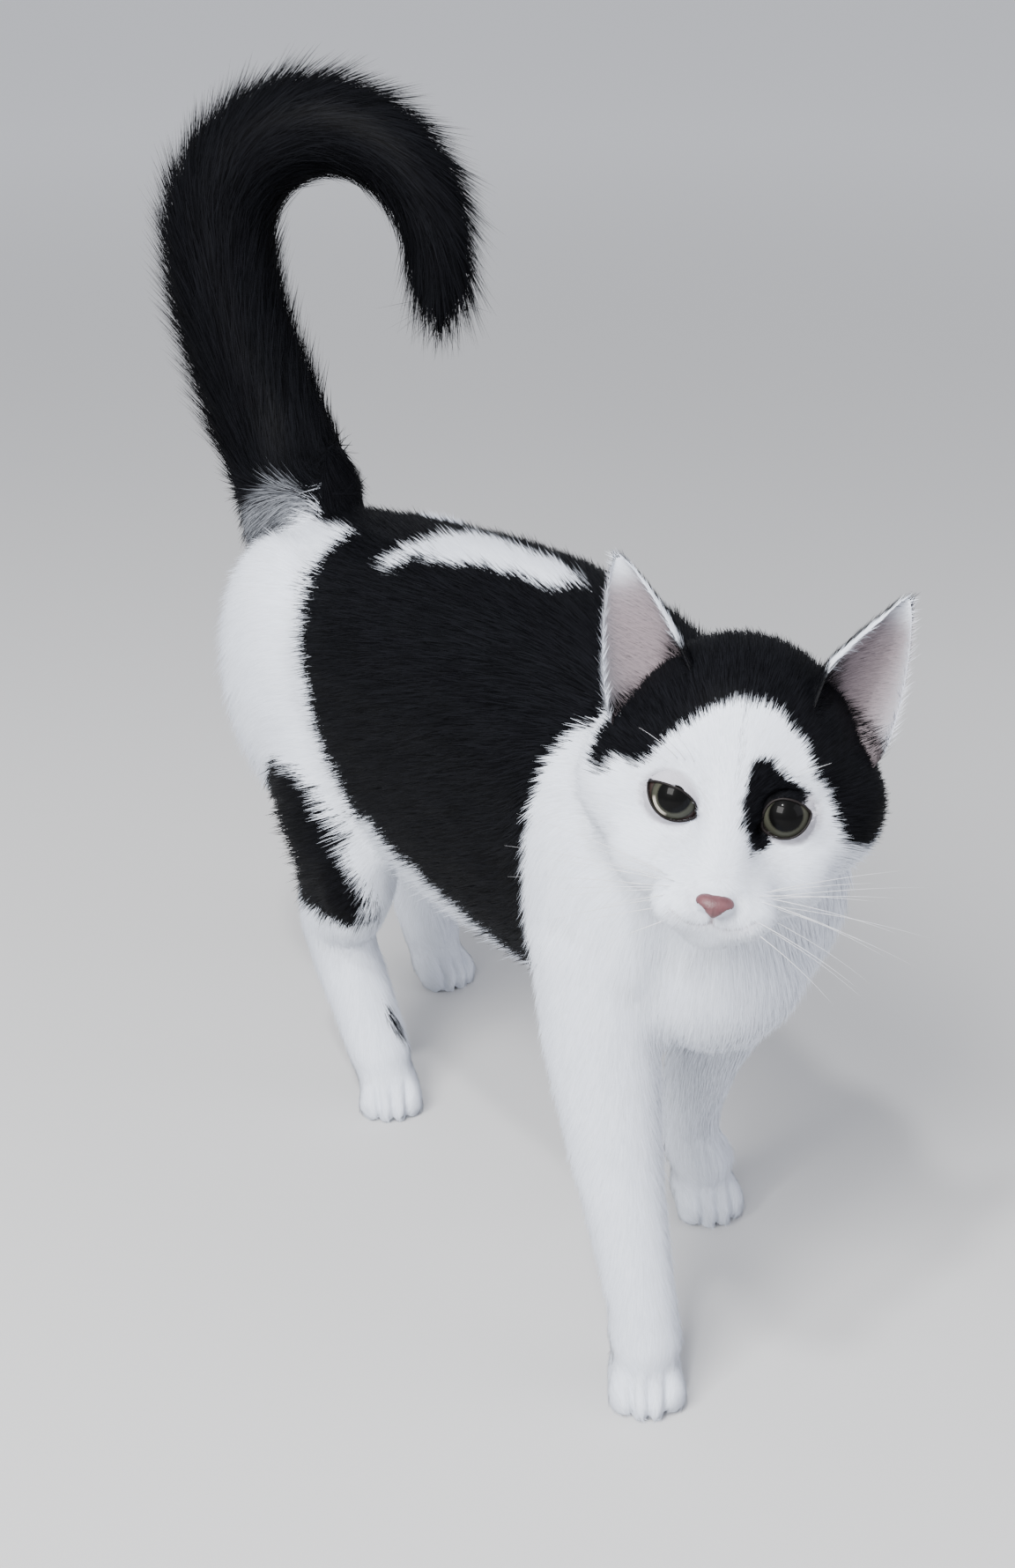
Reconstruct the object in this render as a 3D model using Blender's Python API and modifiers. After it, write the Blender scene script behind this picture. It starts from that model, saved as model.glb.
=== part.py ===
"""A standing shorthaired cat, life size: head turned to its right, tail raised and hooked over.

Metres, +Z up. The cat faces -Y, its left side is at +X, and its soles lie at Z = 0.
The body is modelled whole, out to the tips of the coat, and then parted with thin cuts.
"""

import math

import bmesh
import bpy
from mathutils import Matrix, Vector

# Construction
GAP = 0.0004  # width of every parting cut
VOXEL = 0.0025  # grid on which the overlapping masses are fused
FUSE_SMOOTHING = 6
HEAD_SMOOTHING = 10  # more rounds for the head alone
HEAD_RADIUS = 0.075
BODY_TRIANGLES = 2900
HEAD_TRIANGLES = 1500
REACH = 0.30  # half size of a cutter that takes all that lies beyond its face

# Head: its own frame starts between the eyes, with +X to the cat's left and +Y backwards
HEAD_PLACE = Vector((-0.033, -0.180, 0.249))
HEAD_YAW = math.radians(-36)
HEAD_PITCH = math.radians(-3)
HEAD_ROLL = math.radians(7)
EYE_SPACING = 0.0352
EYE_RADIUS = 0.0098
EYE_DEPTH = 0.0066
EYE_HEIGHT = -0.0010
EYE_DIVISIONS = 2
NOSE_WIDTH = 0.0178

# Ears in the head's frame: root, tip and how far the cup is turned outwards
EAR_THICKNESS = 0.0030
EAR_HALF_WIDTH = 0.0158
EAR_SUNK = -0.13  # share of its length that starts inside the skull
EARS = {
    "ear_right": (Vector((-0.0275, 0.029, 0.022)), Vector((-0.0490, 0.035, 0.0670)), math.radians(12)),
    "ear_left": (Vector((0.0305, 0.030, 0.023)), Vector((0.0455, 0.038, 0.0675)), math.radians(28)),
}

# Paws: the middle of each on the floor, and how far it turns to the cat's right
PAW_HALF_LENGTH = 0.019
PAW_HALF_WIDTH = 0.0152
PAWS = {
    "front_right": Vector((-0.0396, -0.151, 0)),
    "front_left": Vector((0.0467, -0.059, 0)),
    "hind_right": Vector((-0.0365, 0.079, 0)),
    "hind_left": Vector((0.0395, 0.178, 0)),
}
PAW_TURNS = {
    "front_right": math.radians(-27),
    "front_left": math.radians(-14),
    "hind_right": math.radians(-20),
    "hind_left": math.radians(2),
}

# Tail: it rises from its root, leans back and hooks over in an upright plane
TAIL_ROOT = Vector((-0.012, 0.207, 0.235))
TAIL_TURN = math.radians(-45)
HOOK_RADIUS = 0.052
HOOK_AHEAD = 0.0135
HOOK_HEIGHT = 0.371
TAIL_END_DROP = 0.012
TAIL_HALF_WIDTHS = (0.030, 0.027, 0.025, 0.0245, 0.024, 0.0225, 0.0195, 0.0165, 0.0135)

# Stations of the tubes: middle (x, y, z), half width, half height
TRUNK_SQUARENESS = 0.86
TRUNK = (
    (0.000, -0.128, 0.190, 0.038, 0.046),
    (0.000, -0.105, 0.194, 0.048, 0.062),
    (0.000, -0.065, 0.197, 0.053, 0.075),
    (0.001, -0.015, 0.196, 0.058, 0.079),
    (0.001, 0.040, 0.194, 0.061, 0.079),
    (-0.002, 0.095, 0.198, 0.061, 0.070),
    (-0.005, 0.145, 0.205, 0.055, 0.057),
    (-0.009, 0.185, 0.210, 0.045, 0.044),
    (-0.010, 0.203, 0.212, 0.034, 0.032),
)
NECK = (
    (0.000, -0.075, 0.205, 0.044, 0.058),
    (-0.004, -0.108, 0.220, 0.043, 0.050),
    (-0.010, -0.135, 0.235, 0.040, 0.043),
)
LEGS = {
    "front_right": (
        (-0.038, -0.108, 0.178, 0.022, 0.032),
        (-0.040, -0.116, 0.132, 0.0200, 0.0255),
        (-0.041, -0.131, 0.088, 0.0158, 0.0180),
        (-0.0400, -0.146, 0.045, 0.0128, 0.0140),
        (-0.0398, -0.151, 0.024, 0.0134, 0.0144),
    ),
    "front_left": (
        (0.042, -0.106, 0.178, 0.022, 0.032),
        (0.041, -0.090, 0.132, 0.0190, 0.0235),
        (0.038, -0.070, 0.088, 0.0150, 0.0165),
        (0.039, -0.056, 0.045, 0.0124, 0.0135),
        (0.045, -0.059, 0.024, 0.0134, 0.0144),
    ),
    "hind_right": (
        (-0.038, 0.140, 0.200, 0.027, 0.052),
        (-0.046, 0.108, 0.150, 0.0235, 0.046),
        (-0.045, 0.101, 0.114, 0.0195, 0.0325),
        (-0.043, 0.117, 0.079, 0.0158, 0.0220),
        (-0.039, 0.100, 0.045, 0.0142, 0.0165),
        (-0.037, 0.086, 0.022, 0.0140, 0.0150),
    ),
    "hind_left": (
        (0.034, 0.150, 0.200, 0.027, 0.052),
        (0.042, 0.150, 0.150, 0.0235, 0.044),
        (0.040, 0.176, 0.114, 0.0195, 0.0300),
        (0.038, 0.216, 0.080, 0.0150, 0.0185),
        (0.038, 0.203, 0.046, 0.0135, 0.0155),
        (0.039, 0.186, 0.022, 0.0142, 0.0155),
    ),
}

# Rounded masses of the body: middle and half sizes
BODY_MASSES = (
    ((-0.036, -0.104, 0.190), (0.022, 0.040, 0.060)),
    ((0.040, -0.102, 0.190), (0.022, 0.040, 0.060)),
    ((-0.044, 0.152, 0.190), (0.028, 0.062, 0.064)),
    ((0.032, 0.155, 0.190), (0.028, 0.062, 0.062)),
    ((0.000, -0.130, 0.168), (0.036, 0.030, 0.038)),
)

# Masses of the head in its own frame, mirrored where they lie off the middle: middle and half sizes
HEAD_MASSES = (
    ((0.0000, 0.0365, 0.0070), (0.0395, 0.0395, 0.0400)),  # cranium
    ((0.0235, 0.0320, -0.0050), (0.0280, 0.0290, 0.0270)),  # cheek
    ((0.0210, 0.0110, -0.0150), (0.0160, 0.0120, 0.0110)),  # cheekbone
    ((0.0180, 0.0115, 0.0125), (0.0160, 0.0105, 0.0090)),  # brow
    ((0.0100, 0.0040, -0.0060), (0.0070, 0.0070, 0.0100)),  # inner corner of the eye
    ((0.0185, 0.0100, -0.0215), (0.0185, 0.0180, 0.0160)),  # side of the muzzle
    ((0.0000, -0.0020, -0.0240), (0.0205, 0.0225, 0.0165)),  # muzzle
    ((0.0092, -0.0180, -0.0268), (0.0118, 0.0105, 0.0092)),  # whisker pad
    ((0.0000, -0.0120, -0.0362), (0.0115, 0.0105, 0.0078)),  # chin
    ((0.0000, 0.0120, -0.0320), (0.0215, 0.0260, 0.0120)),  # jaw
)
NOSE_BRIDGE = (
    (0, 0.0050, 0.0140, 0.0100, 0.0080),
    (0, -0.0035, 0.0010, 0.0080, 0.0065),
    (0, -0.0140, -0.0105, 0.0080, 0.0066),
    (0, -0.0225, -0.0185, 0.0074, 0.0060),
)

COLOURS = {
    "white_coat": (0.78, 0.81, 0.86, 1),
    "black_coat": (0.012, 0.012, 0.014, 1),
    "ear": (0.46, 0.34, 0.33, 1),
    "eye": (0.10, 0.10, 0.07, 1),
    "nose": (0.50, 0.22, 0.22, 1),
}


def head_frame():
    """Turns head coordinates into world coordinates."""
    turn = Matrix.Rotation(HEAD_YAW, 4, "Z")
    nod = Matrix.Rotation(HEAD_PITCH, 4, "X")
    tilt = Matrix.Rotation(HEAD_ROLL, 4, "Y")
    return Matrix.Translation(HEAD_PLACE) @ turn @ nod @ tilt


HEAD = head_frame()


def between(values, place):
    """Reads a row of equally spaced numbers or tuples at a place from 0 to 1, smoothly."""
    last = len(values) - 1
    low = min(int(place * last), last - 1)
    part = place * last - low
    near = [Vector(values[min(max(low + k, 0), last)]) for k in (-1, 0, 1, 2)]
    before, start, end, after = near
    bend = (end - before) * 0.5
    leave = (after - start) * 0.5
    cubic = (start - end) * 2 + bend + leave
    square = (end - start) * 3 - bend * 2 - leave
    return ((cubic * part + square) * part + bend) * part + start


def add_tube(flesh, stations, sides=24, steps=3, power=1.0):
    """Adds a closed tube with round ends; a station is (x, y, z, half width, half height).

    A power below 1 squares the section off.
    """
    count = (len(stations) - 1) * steps
    path = [between([s[:3] for s in stations], k / count) for k in range(count + 1)]
    sizes = [between([(s[3], s[4], 0) for s in stations], k / count) for k in range(count + 1)]
    rings = []
    for k in range(count + 1):
        along = (path[min(k + 1, count)] - path[max(k - 1, 0)]).normalized()
        side = (Vector((1, 0, 0)) - along * along.x).normalized()
        rings.append((path[k], side, along.cross(side), sizes[k], along))
    turns = [k * math.pi / 8 for k in (3, 2, 1)]

    def end_rings(ring, way):
        centre, side, up, size, along = ring
        length = min(size[0], size[1]) * 0.8 * way
        return [
            (centre + along * length * math.sin(turn), side, up, size * math.cos(turn), along)
            for turn in turns
        ]

    rings = end_rings(rings[0], -1) + rings + end_rings(rings[-1], 1)[::-1]
    loops = []
    for centre, side, up, size, _along in rings:
        loop = []
        for k in range(sides):
            angle = 2 * math.pi * k / sides
            across = math.copysign(abs(math.cos(angle)) ** power, math.cos(angle))
            over = math.copysign(abs(math.sin(angle)) ** power, math.sin(angle))
            at = centre + side * size[0] * across + up * size[1] * over
            loop.append(flesh.verts.new(at))
        loops.append(loop)
    for low, high in zip(loops, loops[1:]):
        for k in range(sides):
            flesh.faces.new((low[k], low[(k + 1) % sides], high[(k + 1) % sides], high[k]))
    flesh.faces.new(loops[0][::-1])
    flesh.faces.new(loops[-1])


def add_mass(flesh, middle, half_sizes, frame=None):
    """Adds an ellipsoid."""
    place = Matrix.Translation(middle) @ Matrix.Diagonal((*half_sizes, 1))
    frame = frame or Matrix()
    bmesh.ops.create_icosphere(flesh, subdivisions=3, radius=1, matrix=frame @ place)


def add_paw(flesh, middle, turn):
    """Adds a paw: a heel, a pad and four toes that point forwards."""
    wide, long = PAW_HALF_WIDTH, PAW_HALF_LENGTH
    frame = Matrix.Translation(middle) @ Matrix.Rotation(turn, 4, "Z")
    add_mass(flesh, Vector((0, 0.2 * long, 0.010)), (wide * 0.90, long * 0.78, 0.0140), frame)
    add_mass(flesh, Vector((0, -0.20 * long, 0.009)), (wide * 0.95, long * 0.62, 0.0125), frame)
    for place in (-1.5, -0.5, 0.5, 1.5):
        inner = abs(place) < 1
        ahead = -0.64 if inner else -0.42
        toe = Vector((place * wide * 0.46, ahead * long, 0.0064))
        add_mass(flesh, toe, (wide * 0.29, long * 0.42, 0.0098), frame)


def tail_path():
    """The tail's stations: a leaning rise, then the hook, then a short drop."""
    ahead = Vector((math.cos(TAIL_TURN), math.sin(TAIL_TURN), 0))

    def at(along, height):
        return Vector((TAIL_ROOT.x, TAIL_ROOT.y, height)) + ahead * along

    foot = HOOK_AHEAD - HOOK_RADIUS
    rise = [
        at(0, TAIL_ROOT.z),
        at(-0.010, TAIL_ROOT.z + 0.050),
        at(foot, HOOK_HEIGHT - 0.050),
        at(foot, HOOK_HEIGHT),
    ]
    path = []
    for k in range(8):
        t = k / 8
        weights = ((1 - t) ** 3, 3 * t * (1 - t) ** 2, 3 * t * t * (1 - t), t**3)
        path.append(sum((p * w for p, w in zip(rise, weights)), Vector()))
    for k in range(11):
        angle = math.pi * (1 - k / 10)
        path.append(
            at(HOOK_AHEAD + HOOK_RADIUS * math.cos(angle), HOOK_HEIGHT + HOOK_RADIUS * math.sin(angle))
        )
    path.append(at(HOOK_AHEAD + HOOK_RADIUS + 0.002, HOOK_HEIGHT - TAIL_END_DROP))
    last = len(path) - 1
    widths = [between([(w, 0, 0) for w in TAIL_HALF_WIDTHS], k / last)[0] for k in range(last + 1)]
    return [(*p, w, w) for p, w in zip(path, widths)]


def add_bridge(flesh):
    """The bridge of the nose, made in the head's frame and then placed."""
    part = bmesh.new()
    add_tube(part, NOSE_BRIDGE)
    part.transform(HEAD)
    mesh = bpy.data.meshes.new("bridge")
    part.to_mesh(mesh)
    part.free()
    flesh.from_mesh(mesh)
    bpy.data.meshes.remove(mesh)


def make_flesh():
    """All the masses of the body, fused into one surface."""
    flesh = bmesh.new()
    add_tube(flesh, TRUNK, power=TRUNK_SQUARENESS)
    add_tube(flesh, NECK)
    add_tube(flesh, tail_path(), steps=1)
    for leg in LEGS.values():
        add_tube(flesh, leg)
    for middle, half_sizes in BODY_MASSES:
        add_mass(flesh, Vector(middle), half_sizes)
    for leg, middle in PAWS.items():
        add_paw(flesh, middle, PAW_TURNS[leg])
    add_bridge(flesh)
    for middle, half_sizes in HEAD_MASSES:
        for side in (-1, 1) if middle[0] else (1,):
            place = Vector((middle[0] * side, middle[1], middle[2]))
            add_mass(flesh, place, half_sizes, HEAD)
    bmesh.ops.recalc_face_normals(flesh, faces=flesh.faces[:])
    mesh = bpy.data.meshes.new("flesh")
    flesh.to_mesh(mesh)
    flesh.free()
    body = bpy.data.objects.new("flesh", mesh)
    cutters.objects.link(body)
    fuse = body.modifiers.new("fuse", "REMESH")
    fuse.mode = "VOXEL"
    fuse.voxel_size = VOXEL
    soften = body.modifiers.new("soften", "SMOOTH")
    soften.factor = 0.5
    soften.iterations = FUSE_SMOOTHING
    settle(body)
    middle = HEAD @ Vector((0, 0.010, 0))
    face = body.vertex_groups.new(name="head")
    face.add([v.index for v in body.data.vertices if (v.co - middle).length < HEAD_RADIUS], 1.0, "REPLACE")
    round_off = body.modifiers.new("round_off", "SMOOTH")
    round_off.factor = 0.5
    round_off.iterations = HEAD_SMOOTHING
    round_off.vertex_group = "head"
    return settle(body)


def settle(source):
    """Gives an object its evaluated mesh for good and drops its modifiers."""
    depsgraph = bpy.context.evaluated_depsgraph_get()
    mesh = bpy.data.meshes.new_from_object(source.evaluated_get(depsgraph))
    source.modifiers.clear()
    source.data = mesh
    return source


def thin_out(body, triangles):
    """Simplifies a mesh to about this many triangles."""
    body.data.calc_loop_triangles()
    thin = body.modifiers.new("thin", "DECIMATE")
    thin.ratio = min(1.0, triangles / len(body.data.loop_triangles))
    return settle(body)


def add_object(name, mesh, collection):
    """Links a mesh as an object."""
    made = bpy.data.objects.new(name, mesh)
    collection.objects.link(made)
    return made


def slab(point, normal, half_sizes, grow):
    """A block whose near face passes through the point and which lies beyond it along the normal."""
    away = Vector(normal).normalized()
    side = (Vector((1, 0, 0)) - away * away.x).normalized()
    frame = Matrix((side, away.cross(side), away)).transposed().to_4x4()
    wide, deep, long = (size + grow for size in half_sizes)
    middle = Vector(point) + away * (long - grow)
    shape = bmesh.new()
    size = Matrix.Diagonal((2 * wide, 2 * deep, 2 * (long + grow), 1))
    bmesh.ops.create_cube(shape, size=1, matrix=Matrix.Translation(middle) @ frame @ size)
    return shape


def dome(middle, half_sizes, drop, grow):
    """An ellipsoid whose lower half is drawn straight down, to take a leg off with its root."""
    shape = bmesh.new()
    bmesh.ops.create_icosphere(shape, subdivisions=2, radius=1)
    for vert in shape.verts:
        low = vert.co.z < 0
        for axis in range(3):
            vert.co[axis] *= half_sizes[axis] + grow
        if low:
            vert.co.z -= drop
    shape.transform(Matrix.Translation(middle))
    return shape


def cut(body, shape, operation):
    """Cuts a body with a closed shape and settles the result."""
    mesh = bpy.data.meshes.new("cutter")
    shape.to_mesh(mesh)
    shape.free()
    cutter = add_object("cutter", mesh, cutters)
    cutter.hide_render = True
    cutter.display_type = "WIRE"
    tool = body.modifiers.new("cut", "BOOLEAN")
    tool.solver = "EXACT"
    tool.operation = operation
    tool.object = cutter
    settle(body)
    bpy.data.objects.remove(cutter)
    return body


def largest_piece(body):
    """Drops crumbs that a cut left beside the main piece."""
    shape = bmesh.new()
    shape.from_mesh(body.data)
    bmesh.ops.remove_doubles(shape, verts=shape.verts[:], dist=0.00002)
    bmesh.ops.dissolve_degenerate(shape, edges=shape.edges[:], dist=0.00002)
    unseen = set(shape.verts)
    pieces = []
    while unseen:
        front = [unseen.pop()]
        piece = list(front)
        while front:
            linked = {edge.other_vert(v) for v in front for edge in v.link_edges} & unseen
            unseen -= linked
            front = list(linked)
            piece += front
        pieces.append(piece)
    pieces.sort(key=len)
    bmesh.ops.delete(shape, geom=[v for piece in pieces[:-1] for v in piece], context="VERTS")
    bmesh.ops.triangulate(shape, faces=shape.faces[:])
    shape.to_mesh(body.data)
    shape.free()
    return body


def part_off(body, name, make_shape):
    """Takes the piece inside a shape off the body, with a thin gap, and returns it."""
    piece = add_object(name, body.data.copy(), parts)
    cut(piece, make_shape(0.0), "INTERSECT")
    cut(body, make_shape(GAP), "DIFFERENCE")
    return largest_piece(piece)


def paint(piece, colour, roughness):
    """Gives a piece a material of its own."""
    material = bpy.data.materials.new(piece.name)
    material.use_nodes = True
    shader = material.node_tree.nodes["Principled BSDF"]
    shader.inputs["Base Color"].default_value = COLOURS[colour]
    shader.inputs["Roughness"].default_value = roughness
    piece.data.materials.clear()
    piece.data.materials.append(material)


def make_ear(name, skull):
    """A thin pointed cup, open to the front, standing on the skull with a gap."""
    root, tip, turn = EARS[name]
    outer = math.copysign(1, root.x)
    axis = tip - root
    length = axis.length
    axis.normalize()
    facing = Vector((outer * math.sin(turn), -math.cos(turn), 0))
    facing = (facing - axis * facing.dot(axis)).normalized()
    side = axis.cross(facing)
    rows, columns = 7, 6
    shape = bmesh.new()
    grid = []
    for row in range(rows + 1):
        rise = EAR_SUNK + (1 - EAR_SUNK) * row / rows
        wide = EAR_HALF_WIDTH * max(1 - max(rise, 0) ** 1.5, 0.0) ** 0.85 + 0.0004
        deep = wide * (0.85 - 0.45 * max(rise, 0))
        line = []
        for column in range(columns + 1):
            angle = math.radians(105) * (2 * column / columns - 1)
            at = root + axis * (rise * length) + side * (wide * math.sin(angle))
            at -= facing * (deep * (math.cos(angle) - 0.35))
            line.append(shape.verts.new(at))
        grid.append(line)
    for low, high in zip(grid, grid[1:]):
        for k in range(columns):
            shape.faces.new((low[k], low[k + 1], high[k + 1], high[k]))
    shape.transform(HEAD)
    mesh = bpy.data.meshes.new(name)
    shape.to_mesh(mesh)
    shape.free()
    ear = add_object(name, mesh, parts)
    wall = ear.modifiers.new("wall", "SOLIDIFY")
    wall.thickness = EAR_THICKNESS
    wall.offset = 0
    settle(ear)
    away = (HEAD.to_3x3() @ axis) * GAP * 1.5
    shape = bmesh.new()
    shape.from_mesh(skull.data)
    bmesh.ops.translate(shape, verts=shape.verts[:], vec=away)
    cut(ear, shape, "DIFFERENCE")
    return largest_piece(ear)


def eye_shape(middle, grow):
    """An eyeball in the head's frame."""
    shape = bmesh.new()
    place = HEAD @ Matrix.Translation(middle)
    bmesh.ops.create_icosphere(shape, subdivisions=EYE_DIVISIONS, radius=EYE_RADIUS + grow, matrix=place)
    return shape


def nose_shape(grow):
    """The nose pad: wide and flat above, narrow below."""
    shape = bmesh.new()
    bmesh.ops.create_icosphere(shape, subdivisions=2, radius=1)
    for vert in shape.verts:
        vert.co.x *= (0.72 + 0.34 * vert.co.z) * (NOSE_WIDTH / 2 + grow)
        vert.co.y *= 0.0050 + grow
        vert.co.z *= 0.0048 + grow
    shape.transform(HEAD @ Matrix.Translation((0, -0.0285, -0.0215)))
    return shape


def add_balls(head):
    """Sets both eyes and the nose pad into the head, each with a gap round it."""
    for side, name in ((-1, "eye_right"), (1, "eye_left")):
        middle = Vector((side * EYE_SPACING / 2, EYE_DEPTH, EYE_HEIGHT))
        mesh = bpy.data.meshes.new(name)
        eye_shape(middle, 0.0).to_mesh(mesh)
        paint(add_object(name, mesh, parts), "eye", 0.15)
        cut(head, eye_shape(middle, GAP), "DIFFERENCE")
    mesh = bpy.data.meshes.new("nose")
    nose_shape(0.0).to_mesh(mesh)
    paint(add_object("nose", mesh, parts), "nose", 0.45)
    cut(head, nose_shape(GAP), "DIFFERENCE")


def part_tail(body):
    """Divides the tail into four lengths, the end first."""
    ahead = Vector((math.cos(TAIL_TURN), math.sin(TAIL_TURN), 0))
    root = Vector((TAIL_ROOT.x, TAIL_ROOT.y, 0))
    top = root + ahead * HOOK_AHEAD + Vector((0, 0, HOOK_HEIGHT))
    side = root + ahead * (HOOK_AHEAD - HOOK_RADIUS)
    half = (0.09, 0.09, 0.09)
    cuts = (
        ("tail_end", top, ahead, half),
        ("tail_hook", side + Vector((0, 0, HOOK_HEIGHT)), (0, 0, 1), half),
        ("tail_middle", side + Vector((0, 0, 0.315)), ahead * -0.2 + Vector((0, 0, 1)), half),
        ("tail_root", TAIL_ROOT + Vector((0, 0, 0.027)), ahead * -0.2 + Vector((0, 0, 1)), (0.06,) * 3),
    )
    for name, point, normal, sizes in cuts:
        piece = part_off(body, name, lambda grow: slab(point, normal, sizes, grow))
        paint(piece, "black_coat", 0.8)


def part_legs(body):
    """Takes off each leg: paw, lower leg and, last, the rounded root."""
    low = (0.034, 0.040, 0.05)
    lower = (0.034, 0.050, 0.06)
    for side, outer in (("right", -1), ("left", 1)):
        paw = PAWS["front_" + side]
        elbow = Vector(LEGS["front_" + side][1][:3])
        hand = Vector((paw.x, paw.y + 0.004, 0.030))
        arm = Vector((elbow.x, elbow.y - 0.012, 0.116))
        hip_paw = PAWS["hind_" + side]
        hock = Vector(LEGS["hind_" + side][3][:3])
        knee = Vector(LEGS["hind_" + side][2][:3])
        foot = Vector((hip_paw.x, hip_paw.y + 0.010, 0.027))
        ankle = hock + Vector((0, -0.008, 0.010))
        bend = knee + Vector((0, 0.004, -0.003))
        cuts = (
            ("front_paw_" + side, hand, (0, -0.1, -1), low, "white_coat"),
            ("forearm_" + side, arm, (0, 0, -1), lower, "white_coat"),
            ("hind_paw_" + side, foot, (0, -0.3, -1), low, "white_coat"),
            ("metatarsus_" + side, ankle, (0, 0.1, -1), lower, "white_coat"),
            ("shank_" + side, bend, (0, 0, -1), (0.027, 0.05, 0.04), "black_coat"),
        )
        for name, point, normal, sizes, colour in cuts:
            piece = part_off(body, name, lambda grow: slab(point, normal, sizes, grow))
            paint(piece, colour, 0.8)
        shoulder = Vector((outer * 0.058, -0.104, 0.176))
        haunch = Vector((outer * 0.058, 0.142, 0.180))
        piece = part_off(
            body, "upper_arm_" + side, lambda grow: dome(shoulder, (0.036, 0.048, 0.060), 0.05, grow)
        )
        paint(piece, "white_coat", 0.8)
        piece = part_off(
            body, "thigh_" + side, lambda grow: dome(haunch, (0.044, 0.060, 0.062), 0.05, grow)
        )
        paint(piece, "white_coat", 0.8)


def part_trunk(body):
    """Divides what is left into neck, chest, hips and belly."""
    wide = (REACH,) * 3
    cuts = (
        ("neck", (0, -0.108, 0.232), (-0.1, -0.78, 0.62)),
        ("chest", (0, -0.020, 0.2), (0, -1, 0)),
        ("hips", (0, 0.090, 0.2), (0, 1, 0)),
    )
    for name, point, normal in cuts:
        piece = part_off(body, name, lambda grow: slab(point, normal, wide, grow))
        paint(piece, "black_coat", 0.8)
    body.name = "belly"
    cutters.objects.unlink(body)
    parts.objects.link(body)
    paint(largest_piece(body), "black_coat", 0.8)


def centre_all():
    """Moves everything so that the origin is the middle of the ground it covers."""
    meshes = [piece.data for piece in parts.objects]
    spots = [vert.co for mesh in meshes for vert in mesh.vertices]
    low = [min(spot[axis] for spot in spots) for axis in (0, 1)]
    high = [max(spot[axis] for spot in spots) for axis in (0, 1)]
    shift = Vector((-(low[0] + high[0]) / 2, -(low[1] + high[1]) / 2, 0))
    for mesh in meshes:
        mesh.transform(Matrix.Translation(shift))


def main():
    """Builds the cat."""
    body = make_flesh()
    face = HEAD.to_3x3() @ Vector((0, -0.83, 0.557))
    throat = HEAD @ Vector((0, 0.020, -0.052))
    head = part_off(body, "head", lambda grow: slab(throat, face, (REACH,) * 3, grow))
    thin_out(head, HEAD_TRIANGLES)
    thin_out(largest_piece(body), BODY_TRIANGLES)
    cut(body, slab((0, 0, 0), (0, 0, -1), (REACH,) * 3, 0.0), "DIFFERENCE")
    for name in EARS:
        paint(make_ear(name, head), "ear", 0.8)
    add_balls(head)
    paint(largest_piece(head), "white_coat", 0.8)
    part_tail(body)
    part_legs(body)
    part_trunk(body)
    centre_all()


for old in list(bpy.data.objects):
    bpy.data.objects.remove(old)
parts = bpy.data.collections.new("cat")
cutters = bpy.data.collections.new("cutters")
for made in (parts, cutters):
    bpy.context.scene.collection.children.link(made)
main()
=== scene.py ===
"""A life-size still model of a black-and-white shorthaired cat: skin, coat, eyes, ears and stage.

Run as a script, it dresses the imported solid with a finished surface.
The cat faces -Y, its left side is at +X and its soles are at Z = 0. Sizes in the body's
tables are centimetres, as a modeller would measure them; Blender's own values are metres.
"""

import math

import bmesh
import bpy
import numpy as np
from bpy.props import FloatProperty, FloatVectorProperty, IntProperty, PointerProperty
from mathutils import Matrix, Vector
from mathutils.bvhtree import BVHTree


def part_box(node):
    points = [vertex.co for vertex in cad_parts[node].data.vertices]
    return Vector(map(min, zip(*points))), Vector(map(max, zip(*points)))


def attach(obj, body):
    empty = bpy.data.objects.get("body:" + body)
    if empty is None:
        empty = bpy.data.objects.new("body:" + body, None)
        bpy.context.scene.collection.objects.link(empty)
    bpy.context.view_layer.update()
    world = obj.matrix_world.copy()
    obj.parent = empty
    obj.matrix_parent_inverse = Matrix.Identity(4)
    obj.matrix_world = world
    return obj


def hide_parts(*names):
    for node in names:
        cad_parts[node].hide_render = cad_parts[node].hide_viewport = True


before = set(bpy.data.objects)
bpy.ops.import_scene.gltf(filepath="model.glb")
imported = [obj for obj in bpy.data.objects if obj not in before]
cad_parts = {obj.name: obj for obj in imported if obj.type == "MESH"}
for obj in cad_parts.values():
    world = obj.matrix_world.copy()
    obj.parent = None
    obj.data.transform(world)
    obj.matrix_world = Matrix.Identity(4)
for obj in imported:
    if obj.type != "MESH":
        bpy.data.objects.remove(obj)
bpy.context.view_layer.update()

bl_info = {
    "name": "Standing cat",
    "version": (1, 0, 0),
    "blender": (4, 5, 0),
    "location": "View3D > Sidebar > Cat",
    "description": "Dresses a solid standing cat with skin, coat, eyes, ears and whiskers",
    "category": "Object",
}

CM = 0.01

# The head's own frame: it starts between the eyes, +X to the cat's left, +Y backwards
HEAD_TURN = (
    Matrix.Rotation(math.radians(-36), 3, "Z")
    @ Matrix.Rotation(math.radians(-3), 3, "X")
    @ Matrix.Rotation(math.radians(7), 3, "Y")
)
EYE_BALLS = {
    side: (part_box("eye_" + side)[0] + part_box("eye_" + side)[1]) / 2 for side in ("right", "left")
}
EYE_RADIUS = 0.0098
HEAD_PLACE = (EYE_BALLS["right"] + EYE_BALLS["left"]) / 2 - HEAD_TURN @ Vector((0, 0.0066, -0.0010))
HEAD = Matrix.Translation(HEAD_PLACE) @ HEAD_TURN.to_4x4()

FLESH = [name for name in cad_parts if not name.startswith(("ear_", "eye_", "nose"))]

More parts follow.
